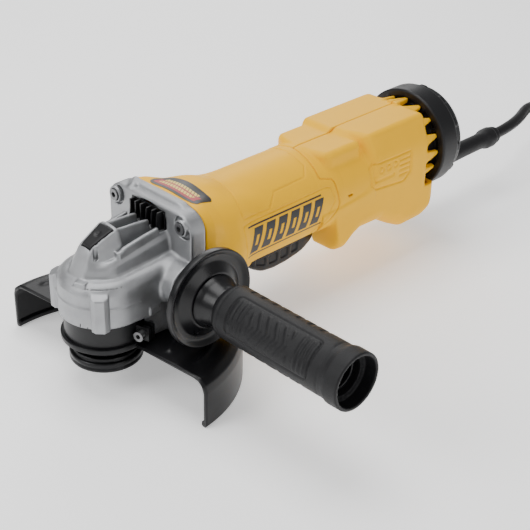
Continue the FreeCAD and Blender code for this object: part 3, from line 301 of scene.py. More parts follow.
def surface(name, colour, roughness, metallic=0.0, grain=1500, bump=0.08, mottle=0.06, coarse=60,
            wear=0.0, worn=(0.5, 0.5, 0.5), spread=0.08, specular=0.5, glow=0.0):
    """Procedural finish: fine grain in the bump, broad colour and gloss variation, paler edges.
    grain and coarse are noise scales; mottle, spread and wear say how far colour, gloss and edges vary."""
    mat = bpy.data.materials.new(name)
    mat.use_nodes = True
    nodes, links = mat.node_tree.nodes, mat.node_tree.links
    shader = nodes["Principled BSDF"]
    texture_place = nodes.new("ShaderNodeTexCoord")

    def noise(scale, detail):
        node = nodes.new("ShaderNodeTexNoise")
        node.inputs["Scale"].default_value = scale
        node.inputs["Detail"].default_value = detail
        links.new(texture_place.outputs["Object"], node.inputs["Vector"])
        return node.outputs["Fac"]

    def map_range(value, **settings):
        node = nodes.new("ShaderNodeMapRange")
        for key, amount in settings.items():
            node.inputs[key.replace("_", " ")].default_value = amount
        links.new(value, node.inputs["Value"])
        return node.outputs["Result"]

    broad, fine = noise(coarse, 3.0), noise(grain, 2.0)
    ramp = nodes.new("ShaderNodeValToRGB")
    for element, position, share in zip(ramp.color_ramp.elements, (0.3, 0.7), (1 - mottle, 1 + mottle)):
        element.position = position
        element.color = [min(1, c * share) for c in colour] + [1]
    links.new(broad, ramp.inputs["Fac"])
    colour_out = ramp.outputs["Color"]
    if wear:
        edges = nodes.new("ShaderNodeNewGeometry").outputs["Pointiness"]
        mix = nodes.new("ShaderNodeMix")
        mix.data_type = "RGBA"
        links.new(map_range(edges, From_Min=EDGE_FROM, From_Max=EDGE_TO, To_Max=wear), mix.inputs["Factor"])
        colour_a, colour_b, mixed = mix.inputs[6], mix.inputs[7], mix.outputs[2]
        links.new(colour_out, colour_a)
        colour_b.default_value = list(worn) + [1]
        colour_out = mixed
    links.new(colour_out, shader.inputs["Base Color"])
    gloss = map_range(broad, To_Min=roughness - spread, To_Max=roughness + spread)
    links.new(gloss, shader.inputs["Roughness"])
    relief = nodes.new("ShaderNodeBump")
    relief.inputs["Strength"].default_value = bump
    relief.inputs["Distance"].default_value = GRAIN_DEPTH
    links.new(fine, relief.inputs["Height"])
    links.new(relief.outputs["Normal"], shader.inputs["Normal"])
    shader.inputs["Metallic"].default_value = metallic
    shader.inputs["Specular IOR Level"].default_value = specular
    if glow:
        shader.inputs["Emission Color"].default_value = (1, 1, 1, 1)
        shader.inputs["Emission Strength"].default_value = glow
    return mat


def grey(value):
    return (value, value, value)


DARK = (0.008, 0.008, 0.009)
RUBBER = (0.007, 0.007, 0.008)
GLOSS_BLACK = (0.005, 0.005, 0.006)
YELLOW, RUBBED_YELLOW = (0.94, 0.49, 0.0), (1.0, 0.56, 0.02)
FINISH = {
    # slot: name, colour, roughness, metallic, grain, bump
    "cast_case": surface("cast_alloy", (0.34, 0.345, 0.355), 0.42, 0.8, 2600, 0.45, mottle=0.12, coarse=90,
                         wear=0.5, worn=(0.6, 0.61, 0.62)),
    "zinc_screws": surface("zinc_plate", (0.2, 0.2, 0.205), 0.38, 0.95, 3000, 0.1),
    "black_steel": surface("black_oxide", (0.02, 0.02, 0.022), 0.33, 0.6, 2500, 0.1, mottle=0.15, coarse=80,
                           wear=0.35, worn=grey(0.2)),
    "bearing_steel": surface("bearing_steel", (0.7, 0.71, 0.73), 0.15, 1.0, 3000, 0.03),
    "seal_rubber": surface("seal_rubber", grey(0.02), 0.7, 0.0, 1500, 0.2),
    "spindle_steel": surface("ground_steel", (0.62, 0.62, 0.63), 0.28, 1.0, 3500, 0.08),
    "gear_steel": surface("gear_steel", (0.36, 0.36, 0.37), 0.35, 1.0, 3000, 0.12),
    "nut_steel": surface("phosphated_steel", (0.012, 0.012, 0.013), 0.3, 0.65, 2600, 0.12, mottle=0.15,
                         coarse=90, wear=0.4, worn=grey(0.25)),
    "black_plastic": surface("black_plastic", DARK, 0.42, 0.0, 1800, 0.12, specular=0.35),
    "spring_steel": surface("spring_steel", grey(0.5), 0.3, 1.0, 3000, 0.05),
    "lamination": surface("laminations", (0.28, 0.28, 0.29), 0.5, 0.9, 1800, 0.3),
    "copper_wire": surface("enamelled_copper", (0.55, 0.2, 0.08), 0.35, 0.8, 1600, 0.5),
    "commutator_copper": surface("turned_copper", (0.7, 0.34, 0.17), 0.3, 1.0, 2500, 0.1),
    "fan_plastic": surface("fan_plastic", grey(0.03), 0.5, 0.0, 1800, 0.1),
    "brass_holder": surface("folded_brass", (0.65, 0.45, 0.18), 0.35, 1.0, 2500, 0.1),
    "carbon": surface("pressed_carbon", grey(0.03), 0.6, 0.2, 2500, 0.3),
    "yellow_housing": surface("yellow_nylon", YELLOW, 0.42, 0.0, 2300, 0.1, mottle=0.025, coarse=40, wear=0.1,
                              worn=RUBBED_YELLOW, spread=0.05, specular=0.12),
    "cap_plastic": surface("cap_plastic", DARK, 0.4, 0.0, 2000, 0.15, specular=0.3),
    "paddle_plastic": surface("paddle_plastic", DARK, 0.36, 0.0, 2000, 0.1, specular=0.3),
    "potting": surface("potting", (0.03, 0.045, 0.04), 0.5, 0.0, 900, 0.1),
    "wire_insulation": surface("wire_insulation", grey(0.05), 0.4, 0.0, 1500, 0.05),
    "relief_rubber": surface("relief_rubber", RUBBER, 0.5, 0.0, 1800, 0.2, specular=0.3),
    "cord_rubber": surface("cord_rubber", RUBBER, 0.45, 0.0, 1500, 0.2, specular=0.3),
    "plug_brass": surface("plug_brass", (0.75, 0.6, 0.3), 0.28, 1.0, 2600, 0.06),
    "handle_gloss": surface("handle_plastic", GLOSS_BLACK, 0.3, 0.0, 1500, 0.04, specular=0.35),
    "grip_rubber": surface("grip_rubber", (0.009, 0.009, 0.01), 0.5, 0.0, 2200, 0.4, specular=0.25),
    "guard_paint": surface("guard_paint", GLOSS_BLACK, 0.34, 0.0, 1300, 0.08, mottle=0.1, wear=0.1,
                           worn=grey(0.05), specular=0.3),
    "label_film": surface("label_film", (0.012, 0.012, 0.013), 0.4, 0.0, 1500, 0.02),
}
INK_BLACK = surface("side_print", grey(0.012), 0.42, 0.0, 1500, 0.02)
INK_RED = surface("label_red", (0.42, 0.025, 0.035), 0.45, 0.0, 1500, 0.02)
INK_PALE = surface("label_pale", (0.85, 0.62, 0.14), 0.45, 0.0, 1500, 0.02)
FLOOR_PAINT = surface("studio_floor", grey(0.97), 0.8, 0.0, 300, 0.02, mottle=0.01, coarse=4, glow=0.45)


def finish_cad_nodes():
    """Every CAD node gets the finish of its slot, and the two springs get meshes of their own."""
    slots = {part["node"]: part["material_slot"] for part in frame["record"]["subparts"]}
    cad = frame["nodes"]
    for node, obj in cad.items():
        obj.data.materials.clear()
        obj.data.materials.append(FINISH[slots[node]])
    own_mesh(cad["lock_spring"])
    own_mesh(cad["switch_spring"])


# ---- gear case ----
FLANGE_FRONT, FLANGE_BACK = 36.4, 48.0
FLANGE_Z, FLANGE_HALF_Y, FLANGE_HALF_Z = 61.5, 37.8, 36.5
SCREW_Y, SCREW_HIGH, SCREW_LOW, SCREW_ROOM_R = 30.0, 90.0, 34.0, 3.9
CASE_FOOT = 38.7  # lower edge of the casting round the collar
CASE_SIDE_X = 36.0  # where the spreading sides of the plan reach their full width
LUG_ANGLES = (math.radians(132), math.radians(228))
UPPER_TOP = [(-17, 74.6), (-5, 76), (10, 78.4), (36, 82.4)]
HUMP_TOP = [
    (-22, 60), (-19.5, 66), (-16.5, 73), (-13, 80.5), (-10.8, 83.8), (-2.3, 88.0), (5.8, 91.8), (8, 91),
]
CASE_RIBS = (  # distance from the middle, front end, top line
    (5.0, 5.0, [(5, 90.2), (12, 89.6), (27, 88.8), (34, 87.5)]),
    (13.6, 1.5, [(1.5, 79.3), (6, 82.0), (20, 84.6), (31, 86.2), (34, 86)]),
)


def button_half_width(x):
    return 4.0 + 2.0 * np.clip((x + 10.5) / 15.4, 0, 1)


def case_bowls(x, y, z):
    """Lower bowl with its bead and feet, and the narrower upper bowl with its tray."""
    wall = u_plan(x, y, 27.0, 29.3, CASE_SIDE_X)
    ledge = 66.8 + 0.09 * np.clip(x, 0, 40)
    lower = rounded(wall, z - ledge, 8.0)
    under = profile(x, [(13, 38.6), (16.5, 44.5)])
    lower = rounded(lower, under - z, 1.0)
    bead = common(length2(wall + 0.1, z - 52.0) - 0.75, x - 6.0)
    lower = smooth_union(lower, bead, 0.8)
    lower = smooth_union(lower, block(x, np.abs(y), z, (12, 20, 20, 28.5, CASE_FOOT, 45), 1.0), 0.8)

    top = smooth_profile(x, UPPER_TOP, 3.0)
    upper_plan = u_plan(x, y, 17.0, 19.4, CASE_SIDE_X) + 0.18 * (z - 70)
    upper = rounded(upper_plan, z - top, 4.2)
    tray = common(u_plan(x, y, 12.2, 15.6, CASE_SIDE_X) - 0.25 * (z - top), top - 3.0 - z)
    return smooth_union(lower, smooth_cut(upper, tray, 1.6), 2.2)


def case_hump_and_ribs(body, x, y, z):
    """Adds the hump round the lock button, the ribs behind it and the webs beside it."""
    crest = smooth_profile(x, HUMP_TOP, 1.2) - 0.018 * y * y
    hump_side = np.abs(y) - button_half_width(x) - 2.2 - 0.32 * np.maximum(crest - z, 0)
    hump = rounded(hump_side, z - crest, 1.8)
    hump = common(hump, x - 7.6, 62 - z)
    body = smooth_union(body, hump, 3.0)
    for middle, start, ridge in CASE_RIBS:
        off = np.abs(np.abs(y) - middle - 0.02 * x) - 1.0 - 0.05 * (90 - z)
        rib = rounded(off, z - smooth_profile(x, ridge, 1.5), 0.8)
        rib = common(rib, start - x, x - 37, 72 - z)
        body = smooth_union(body, rib, 0.9)
    web = block(x, np.abs(y), z, (0.8, 2.6, 8.0, 14.2, 72, 80.2), 0.6)
    return smooth_union(body, web, 0.8)


def gear_case_field(x, y, z):
    body = case_hump_and_ribs(case_bowls(x, y, z), x, y, z)

    outline = box2(y, z - FLANGE_Z, FLANGE_HALF_Y, FLANGE_HALF_Z - 0.2, 12.0)
    flange = rounded(outline, slab(x, FLANGE_FRONT, FLANGE_BACK), 1.4)
    lip_outline = box2(y, z - FLANGE_Z - 0.4, 31.0, FLANGE_HALF_Z + 1.4, 13.0)
    flange = smooth_union(flange, rounded(lip_outline, slab(x, 42.2, FLANGE_BACK), 1.2), 1.2)
    boss_top = capsule(x, y, z, (40.5, 19, 96.5), (47, 24, 96.5), 3.4)
    flange = smooth_union(flange, common(boss_top, x - FLANGE_BACK), 1.5)
    body = smooth_union(body, flange, 2.4)
    handle_boss = rounded(length2(x - HANDLE_X, z - HANDLE_Z) - 14.0, np.abs(y) - 38.3, 1.0)
    body = smooth_union(body, handle_boss, 2.6)
    for angle in LUG_ANGLES:
        u, v = x * math.cos(angle) + y * math.sin(angle), y * math.cos(angle) - x * math.sin(angle)
        taper = common(np.abs(v) - 5.2 + 0.9 * np.maximum(u - 28.6, 0), np.abs(u - 25.5) - 5.8)
        lug = rounded(taper, z - 60.6 - 0.4 * (31 - u), 0.5)
        body = smooth_union(body, common(lug, CASE_FOOT - z), 0.9)
    pad_u, pad_v = -x * 0.94 - y * 0.34, -y * 0.94 + x * 0.34
    body = smooth_union(body, block(pad_u, pad_v, z, (20, 24.6, -3.6, 3.6, 60, 67.0), 0.4), 0.5)

    for side in (-1, 1):
        bowl = rounded(length2(y - side * (SCREW_Y + 1), z - SCREW_HIGH - 0.5) - 7.6, outline + 1.5, 1.0)
        body = smooth_cut(body, common(bowl, x - 38.4), 0.7)
        reach = length2(y - side * SCREW_Y, z - SCREW_HIGH)
        ring = rounded(reach - 5.2, slab(x, 34.5, 38.6), 0.5)
        body = np.minimum(body, common(ring, SCREW_ROOM_R - reach))
        for height in (SCREW_HIGH, SCREW_LOW):
            body = cut(body, length2(y - side * SCREW_Y, z - height) - SCREW_ROOM_R, x - 37.0)
        body = cut(body, length2(x - HANDLE_X, z - HANDLE_Z) - 5.0, 22 - side * y)
    arch = common(z - 91.0 - 4.8 * (1 - (y / 15.5) ** 2), 82.6 - z)
    window = rounded(arch, np.abs(y) - 16.3 + 0.12 * (z - 82), 1.5)
    body = smooth_cut(body, common(window, 31 - x), 0.8)
    body = common(body, x - FLANGE_BACK)
    # inside: gear chamber, room for the pinion nut, the retainer's spigot, motor opening, bearing seat
    body = cut(body, length2(x, y) - 24, slab(z, 38, 64))
    body = cut(body, length2(x, y) - 14.5, slab(z, 38, 69))
    body = cut(body, length2(x, y) - 26.1, z - 41.5)
    body = cut(body, length2(y, z - MOTOR_Z) - 31, 37 - x)
    body = cut(body, length2(y, z - MOTOR_Z) - 13, slab(x, 22, 38))
    # pocket that the lock button sinks into, and the blind hole beside it
    pocket = rounded(np.abs(y) - button_half_width(x) - 0.35, slab(x, -10.9, 5.3), 0.6)
    body = cut(body, pocket, 75.8 - z)
    return cut(body, length2(x + 9.3, y + 6.9) - 1.5, 76 - z)


def lock_button_field(x, y, z):
    top = 84.2 + 0.46 * (x + 10.5)
    solid = rounded(np.abs(y) - button_half_width(x), slab(x, -10.4, 4.9), 0.7)
    solid = common(rounded(solid, z - top, 0.8), 79.8 - z)
    dimple = np.sqrt((x + 3.0) ** 2 + y * y + (z - 90.4) ** 2) - 3.2
    return smooth_cut(solid, dimple, 0.5)


def make_gear_case():
    case = field_mesh("gear_case_casting", gear_case_field, (-32, 49, -39, 39, 24.5, 101), CELL * 0.9)
    place(case, "cast_case", "gear_case")
    button = field_mesh("lock_button_key", lock_button_field, (-11, 5.5, -6.5, 6.5, 79, 92.5), CELL / 2)
    place(button, "black_plastic", "lock_button", body="lock")


# ---- stage, light and camera ----
FLOOR_SIZE = 6.0  # metres
WORLD_LIGHT = 0.34
LAMP_TARGET = Vector((0.13, -0.02, 0.05))
LAMPS = (  # name, place in metres, width in metres, power in watts
    ("top_softbox", (0.1, 0.25, 1.3), 0.9, 14),
    ("left_softbox", (-1.0, 0.35, 0.9), 0.7, 10),
    ("front_fill", (0.2, -1.3, 0.6), 0.8, 4.5),
    ("back_strip", (0.9, 0.9, 0.7), 0.7, 5),
)


def make_stage():
    bpy.ops.mesh.primitive_plane_add(size=FLOOR_SIZE, location=(0.2, 0, FLOOR_Z * MM))
    floor = bpy.context.object
    floor.name = "studio_floor"
    floor.data.materials.append(FLOOR_PAINT)
    world = bpy.data.worlds.new("studio")
    bpy.context.scene.world = world
    world.use_nodes = True
    light = world.node_tree.nodes["Background"].inputs
    light["Color"].default_value = (1, 1, 1, 1)
    light["Strength"].default_value = WORLD_LIGHT
    for name, spot, size, power in LAMPS:
        lamp = bpy.data.lights.new(name, "AREA")
        lamp.size = size
        lamp.energy = power
        holder = bpy.data.objects.new(name, lamp)
        holder.location = spot
        holder.rotation_euler = (Vector(spot) - LAMP_TARGET).to_track_quat("Z", "Y").to_euler()
        bpy.context.scene.collection.objects.link(holder)


VIEW_AZIMUTH, VIEW_ELEVATION, VIEW_ROLL = math.radians(-45.22), math.radians(30.19), math.radians(1.23)
VIEW_CENTRE = Vector((0, 0, 55))
VIEW_DISTANCE, VIEW_RIGHT, VIEW_UP = 724.47, 95.51, 10.14  # from the centre, along the camera's own axes
SENSOR_WIDTH, FOCAL_LENGTH = 36, 83.51


def make_camera():
    az, el, roll = VIEW_AZIMUTH, VIEW_ELEVATION, VIEW_ROLL
    back = Vector((math.sin(az) * math.cos(el), -math.cos(az) * math.cos(el), math.sin(el)))
    level = Vector((math.cos(az), math.sin(az), 0))
    up = back.cross(level)
    right = level * math.cos(roll) + up * math.sin(roll)
    top = up * math.cos(roll) - level * math.sin(roll)
    eye = (back * VIEW_DISTANCE + right * VIEW_RIGHT + top * VIEW_UP + VIEW_CENTRE) * MM
    lens = bpy.data.cameras.new("camera")
    lens.sensor_width = SENSOR_WIDTH
    lens.lens = FOCAL_LENGTH
    camera = bpy.data.objects.new("camera", lens)
    camera.matrix_world = Matrix.Translation(eye) @ Matrix((right, top, back)).transposed().to_4x4()
    bpy.context.scene.collection.objects.link(camera)
    bpy.context.scene.camera = camera


# ---- cord and plug ----
CORD_R = 4.35
CORD_EXIT = (390.0, 0.0, CORD_Z)
CORD_ROUTE = [
    CORD_EXIT, (418.0, 0.0, CORD_Z), (466.0, 19.0, 32.0), (508.0, 22.0, 10.0),
    (540.0, 15.7, -5.65), (575.0, 15.7, -5.65),
]
COIL_CENTRE, COIL_OUTER_R, COIL_PITCH = (575.0, -45.0), 60.7, 8.85
COIL_TURNS, TURNS_PER_LAYER, POINTS_PER_TURN = 7.4, 3.7, 14
RISE_BEFORE, RISE_TURNS = 0.35, 0.7  # turns in which the cord climbs from the lower layer to the upper
PLUG_HEADING = (-0.809, -0.588, 0.0)  # way the cord leaves the coil
PLUG_TAIL = (16.0, 42.0)  # points on the straight end that runs into the plug


def coil_point(turn):
    """Place on the coil after some turns, clockwise: in on the lower layer and back out on the upper."""
    angle = math.radians(90) - 2 * math.pi * turn
    inward = min(turn, COIL_TURNS - turn)
    radius = COIL_OUTER_R - COIL_PITCH * inward
    rise = min(1.0, max(0.0, (turn - TURNS_PER_LAYER + RISE_BEFORE) / RISE_TURNS))
    z = FLOOR_Z + CORD_R + 2 * CORD_R * rise * rise * (3 - 2 * rise)
    return (COIL_CENTRE[0] + radius * math.cos(angle), COIL_CENTRE[1] + radius * math.sin(angle), z)


def make_cord():
    count = int(COIL_TURNS * POINTS_PER_TURN)
    route = CORD_ROUTE + [coil_point(COIL_TURNS * k / count) for k in range(1, count + 1)]
    end = route[-1]
    route += [tuple(end[i] + PLUG_HEADING[i] * step for i in range(3)) for step in PLUG_TAIL]
    curve = bpy.data.curves.new("power_cord_line", "CURVE")
    curve.dimensions = "3D"
    spline = curve.splines.new("NURBS")
    spline.points.add(len(route) - 1)
    for point, spot in zip(spline.points, route):
        point.co = [c * MM for c in spot] + [1]
    spline.order_u = 3
    spline.use_endpoint_u = True
    spline.resolution_u = 8
    curve.bevel_depth = CORD_R * MM
    curve.bevel_resolution = 6
    curve.use_fill_caps = True
    cord = bpy.data.objects.new("power_cord_line", curve)
    place(cord, "cord_rubber", "power_cord", "cord_coil")


# ---- motor housing ----
BARREL_FRONT, BARREL_R, MOTOR_ROOM_R = 48.3, 32.4, 31
WALL = 2.6
BARREL_RADIUS = [(48, 37.6), (74, 37.6), (79, 37.1), (84, 35.2), (90, 33.0), (97, BARREL_R), (160, BARREL_R)]
PANEL_R = 32.5  # radius on which the panel lines, (x, degrees from the top) pairs, are drawn
TOP_PANEL = [
    (88.0, 0.0), (88.0, 27.0), (84.2, 53.0), (85.8, 59.5), (110.1, 60.8), (118.7, 45.0), (146.8, 44.0),
    (152.3, 31.0), (151.9, 0.0),
]
SIDE_PANEL = [
    (90, 118.0), (85.5, 112.0), (82.5, 70.0), (84.5, 66.0), (160, 64.5), (164.5, 67.0), (166.0, 84.0),
    (160, 98.0), (152.0, 112.0), (148, 118.0),
]
BELLY_Z, BELLY_FRONT, ROOT_BELLY_Z = 42.0, 95.0, 25.2


def polyline_reach(u, v, points):
    """Distance from a broken line drawn in the plane of u and v."""
    best = np.full(np.shape(u), 1e3)
    for (a, b), (c, d) in zip(points[:-1], points[1:]):
        length = (c - a) ** 2 + (d - b) ** 2
        t = np.clip(((u - a) * (c - a) + (v - b) * (d - b)) / length, 0, 1)
        best = np.minimum(best, length2(u - a - t * (c - a), v - b - t * (d - b)))
    return best


def groove(body, reach, width, depth):
    """body with a line pressed in where reach is under half the width."""
    return smooth_cut(body, common(reach - width / 2, -(body + depth)), 0.35)


def barrel_form(x, y, z, grow=0.0):
    form = length2(y, z - MOTOR_Z) - smooth_profile(x, BARREL_RADIUS, 2.0)
    root_corner = 13.0 + 10 * np.clip((x - 50) / 16, 0, 1)
    root = box2(y, z - 61.2, 37.4, 36.2, root_corner) + 0.25 * np.maximum(x - 56, 0)
    form = smooth_union(form, root, 3.0)
    return smooth_common(form, np.where(x > BELLY_FRONT, BELLY_Z, ROOT_BELLY_Z) - z, 2.0) - grow


# ---- rear housing ----
REAR_X1, REAR_HALF_Y = 272.8, 32.8
REAR_TOP = [(180, 94.2), (192, 95.6), (266, 95.8), (273, 94.4)]
REAR_BOTTOM = [
    (160, 42), (168.6, 42), (170.4, 26), (173.0, 20.4), (180, 19.6), (188, 25.5), (196, 29.0), (217, 28.4),
    (231, 20.0), (242, 14.4), (262, 14.6), (270.5, 18.0), (273, 27),
]
UPPER_FRONT_LEFT, UPPER_FRONT_RIGHT = 196.5, 193.0  # the right one leaves room for the top screw
JOIN_LINE = [  # degrees from the top, x
    (0, 158.6), (49, 157.4), (53, 158), (58, 167), (63, 168.6), (88, 170.6), (95, 170), (112, 155),
    (180, 155),
]
EMBLEM_FRAME = [
    (243, 75.2), (206, 76.0), (202.5, 73), (202.5, 62), (207, 58.0), (236, 54.9), (243.2, 60), (243, 75.2),
]
EMBLEM_HALF_GAP = 18  # the emblem is pressed only into the sides, beyond this y
SHELL_SCREWS = ((192, 46), (232, 38), (254, 48), (200, 87))
FINGER_PITCH = math.radians(22.5)


def off_pitch(turn, pitch):
    """Angle from the nearest of the places that repeat at a pitch."""
    return np.abs((turn + pitch / 2) % pitch - pitch / 2)


def turn_from_top(y, z):
    return np.degrees(np.arctan2(np.abs(y), z - MOTOR_Z))


def join_x(y, z):
    """Where the barrel ends and the rear shells begin, round the motor axis."""
    return profile(turn_from_top(y, z), JOIN_LINE)


def rear_form(x, y, z, skin=0.0):
    """Outer form of the rear shells, or their hollow when skin is the wall."""
    side = np.abs(y)
    top = smooth_profile(x, REAR_TOP, 2.0)
    low = smooth_profile(x, REAR_BOTTOM, 1.2)
    if skin:
        low = common(low, profile(x - skin, REAR_BOTTOM), profile(x + skin, REAR_BOTTOM))
    middle, tall = (top + low) / 2, (top - low) / 2
    corner = np.where(z > middle, 6.0 + 5 * np.clip((x - 240) / 25, 0, 1), np.minimum(11.0, tall - 1))
    main = box2(y, z - middle, REAR_HALF_Y, tall, corner)
    main = smooth_common(main, 0.937 * side + 0.35 * z - 57.0, 2.5)
    step_x = np.where(y < 0, UPPER_FRONT_LEFT + 0.42 * np.maximum(side - 8, 0), UPPER_FRONT_RIGHT)
    step = np.where(z > 55, np.clip((z - 55) / 12, 0, 1) * (step_x - x + 6) - 6, -6)
    main = smooth_common(main, step, 5.0)
    round_part = common(length2(y, z - MOTOR_Z) - BARREL_R, x - 205)
    round_part = smooth_common(round_part, low - z, 3.0)
    deck = rounded(box2(y, z - 78, 23.9, 14.8, 4.5), slab(x, 161.0 + 0.012 * side ** 2, 200), 4.0)
    form = smooth_union(smooth_union(round_part, deck, 1.6), main, 3.0)
    shoulder = x - 264.5 - 0.05 * np.maximum(44 - z, 0) * np.maximum(x - 255, 0)
    form = smooth_common(form, np.where(z > 42, shoulder, x - 273.4), 7.0)
    return form + skin


def housing_form(x, y, z):
    """Barrel and rear as one outer form, so that their surfaces meet flush."""
    barrel = common(barrel_form(x, y, z), x - 175)
    return np.where(x < 150, barrel, smooth_union(barrel, common(rear_form(x, y, z), 155 - x), 0.8))


def motor_housing_field(x, y, z):
    form = housing_form(x, y, z)
    arc = np.radians(turn_from_top(y, z)) * PANEL_R
    for line in (TOP_PANEL, SIDE_PANEL):
        reach = polyline_reach(x, arc, [(px, math.radians(a) * PANEL_R) for px, a in line])
        form = groove(form, reach, 0.9, 0.55)
    shell = rounded(form, common(BARREL_FRONT - x, x - join_x(y, z) + 0.2), 0.6)
    inner = common(barrel_form(x, y, z, -WALL), 67.5 - x)
    inner = np.minimum(inner, common(length2(y, z - MOTOR_Z) - MOTOR_ROOM_R, x - 68))
    return cut(cut(shell, inner), length2(x - PLUNGER_X, y) - 4.4, z - 50)


def emblem_grooves(form, x, y, z):
    """form with the frame, the three rings and the five bars pressed into both sides."""
    off_side = EMBLEM_HALF_GAP - np.abs(y)
    form = groove(form, common(polyline_reach(x, z, EMBLEM_FRAME), off_side), 1.2, 0.6)
    rings = np.abs(length2((x - 208.5) % 7.4 - 3.7, z - 70.6) - 2.1)
    rings = np.where((x > 208.5) & (x < 230.7), rings, 9)
    bars = np.where((x > 206) & (x < 226), np.abs(z - 63.4) - 0.5, 9)
    for k in range(4):
        bars = np.where((x > 231) & (x < 242), np.minimum(bars, np.abs(z - 60.4 - 3.8 * k)), bars)
    return groove(form, common(np.minimum(rings, bars), off_side), 1.1, 0.5)


def rear_housing_field(x, y, z):
    form = emblem_grooves(housing_form(x, y, z), x, y, z)
    shell = rounded(form, common(join_x(y, z) + 0.2 - x, x - REAR_X1), 0.6)
    inner = common(rear_form(x, y, z, WALL), x - REAR_X1 + WALL)
    shell = cut(shell, np.minimum(inner, common(barrel_form(x, y, z, -WALL), x - 175)))
    # fingers that bridge the gap to the rear cap
    turn, reach = np.arctan2(y, z - CAP_Z), length2(y, z - CAP_Z)
    finger = rounded(off_pitch(turn, FINGER_PITCH) * reach - 3.4 + 0.2 * (x - 264), slab(x, 258, 274.6), 0.8)
    finger = rounded(finger, common(reach - 33.2 + 0.12 * (x - 262), 28.4 - reach), 0.8)
    finger = common(finger, 40.0 - z, np.abs(y) - 32.4)
    shell = smooth_union(shell, finger, 1.2)
    shell = cut(shell, reach - 28, 260 - x)
    shell = cut(shell, length2(y, z - CORD_Z) - 6, 262 - x)
    # slot in the left side
    shell = cut(shell, np.abs(x - 181.75) - 2.2, np.abs(z - 62.0) - 0.8, y + 20)
    for px, pz in SHELL_SCREWS:
        reach = length2(x - px, z - pz)
        shell = np.minimum(shell, common(reach - 4.6, form + 0.6))
        shell = cut(shell, reach - 3.2, 26 - y)
        shell = cut(shell, reach - 1.6, -14 - y)
    # paddle pin's bosses, and room for the paddle's arm between them
    reach = length2(x - PIVOT_X, z - PIVOT_Z)
    shell = np.minimum(shell, common(reach - 4.6, 8.6 - np.abs(y), form + 0.4))
    shell = cut(shell, slab(x, 150, 181), np.abs(y) - 8.6, slab(z, 20, 41))
    return cut(shell, reach - 2.05, np.abs(y) - 17)


def make_housings():
    barrel = field_mesh("motor_housing_shell", motor_housing_field, (48, 171, -38.5, 38.5, 24, 99))
    place(barrel, "yellow_housing", "motor_housing")
    for name, side, ys in (("left", -1, (-33.5, 0.5)), ("right", 1, (-0.5, 33.5))):
        def half(x, y, z, side=side):
            return rounded(rear_housing_field(x, y, z), 0.15 - side * y, 0.5)

        shell = field_mesh("rear_shell_" + name, half, (155, 274, ys[0], ys[1], 12, 97))
        place(shell, "yellow_housing", "rear_housing_" + name)


# ---- rear cap ----
CAP_R, CAP_LUG_PITCH = 37.0, math.radians(30)


def rear_cap_field(x, y, z):
    reach, turn = length2(y, z - CAP_Z), np.arctan2(y, z - CAP_Z)
    across = off_pitch(turn, CAP_LUG_PITCH) * reach
    dish = 0.0035 * reach ** 2
    ring = rounded(reach - CAP_R, slab(x, 274.2, 290.6), 1.6)
    crown = rounded(reach - 35.6 + 0.16 * np.maximum(x - 289, 0), x - 303.4 + dish, 4.0)
    cap = smooth_union(ring, common(crown, 280 - x), 0.8)
    lugs = rounded(across - 3.4, common(reach - 36.2, x - 298.5 + dish), 1.2)
    cap = smooth_union(cap, common(lugs, 286 - x, 27 - reach), 1.0)
    chin = rounded(length2(y, z - CORD_Z) - 9.5, slab(x, 273.8, 296.0), 1.2)
    cap = smooth_union(cap, chin, 3.0)
    cap = cut(cap, reach - 31.5, x - 299.8 + dish)
    # inside: sleeve and disc behind the fingers, on spokes
    sleeve = rounded(common(reach - 27.6, 25.0 - reach), slab(x, 261.5, 277), 0.4)
    disc = common(reach - 34.4, slab(x, 276, 278.4), 24 - reach)
    spokes = common(across - 1.2, slab(x, 274, 278), 25 - reach, reach - 34)
    cap = np.minimum(cap, np.minimum(np.minimum(sleeve, disc), spokes))
    # ring-shaped air slots in the back
    slots = common(np.abs((reach - 12) % 5.0 - 2.5) - 1.1, 12.0 - reach, reach - 27)
    slots = common(slots, 294 - x, 2.4 - np.abs(z - CAP_Z))
    cap = smooth_cut(cap, common(slots, np.abs(y) - 24), 0.3)
    return cut(cap, length2(y, z - CORD_Z) - 8.2, x - 310)


def make_rear_cap():
    cap = field_mesh("rear_cap_moulding", rear_cap_field, (261, 305, -38, 38, 22, 102))
    place(cap, "cap_plastic", "rear_cap")


# ---- strain relief ----
RELIEF_PROFILE = [
    (4.35, 264), (8.0, 264), (8.0, 297), (7.3, 300), (6.9, 320), (6.3, 350), (6.2, 368), (6.6, 372),
    (8.0, 376), (8.0, 383), (7.2, 384.5), (7.0, 387.5), (6.2, 390), (4.35, 390),
]


def make_strain_relief():
    relief = lathe("cord_protector", RELIEF_PROFILE, "X", (0, 0, CORD_Z), 64, 1.5)
    place(relief, "relief_rubber", "strain_relief")


# ---- side handle ----
HANDLE_BASE = -36.0  # y of the gear case's face; the outlines below run outwards from it
GRIP_R, GRIP_START, GRIP_END = 16.3, 36.5, 134.3
PAD_MIDDLE, PAD_HALF_LENGTH, PAD_HALF_ARC = 81, 31.5, 12.5
GRIP_PROFILE = [(36, 13.8), (40, GRIP_R), (122, GRIP_R), (125, 17.4), (134.5, 17.3)]
DISC_PROFILE = [
    (5.0, 2.7), (11.5, 2.7), (11.5, 4.0), (14.5, 6.2), (14.5, 10.5), (17.5, 11.6), (29.6, 16.4),
    (31.05, 17.4), (31.05, 21.6), (30.2, 22.0), (29.0, 21.2), (27.0, 19.6), (23.5, 19.4), (17.5, 23.6),
    (5.0, 24.0),
]
CORE_PROFILE = [
    (5.0, 24.0), (16.9, 24.0), (15.0, 28.0), (13.4, 33.5), (13.2, 35.9), (12.0, 36.2), (12.0, 122.0),
    (9.5, 122.0), (9.5, 52.0), (5.0, 52.0),
]


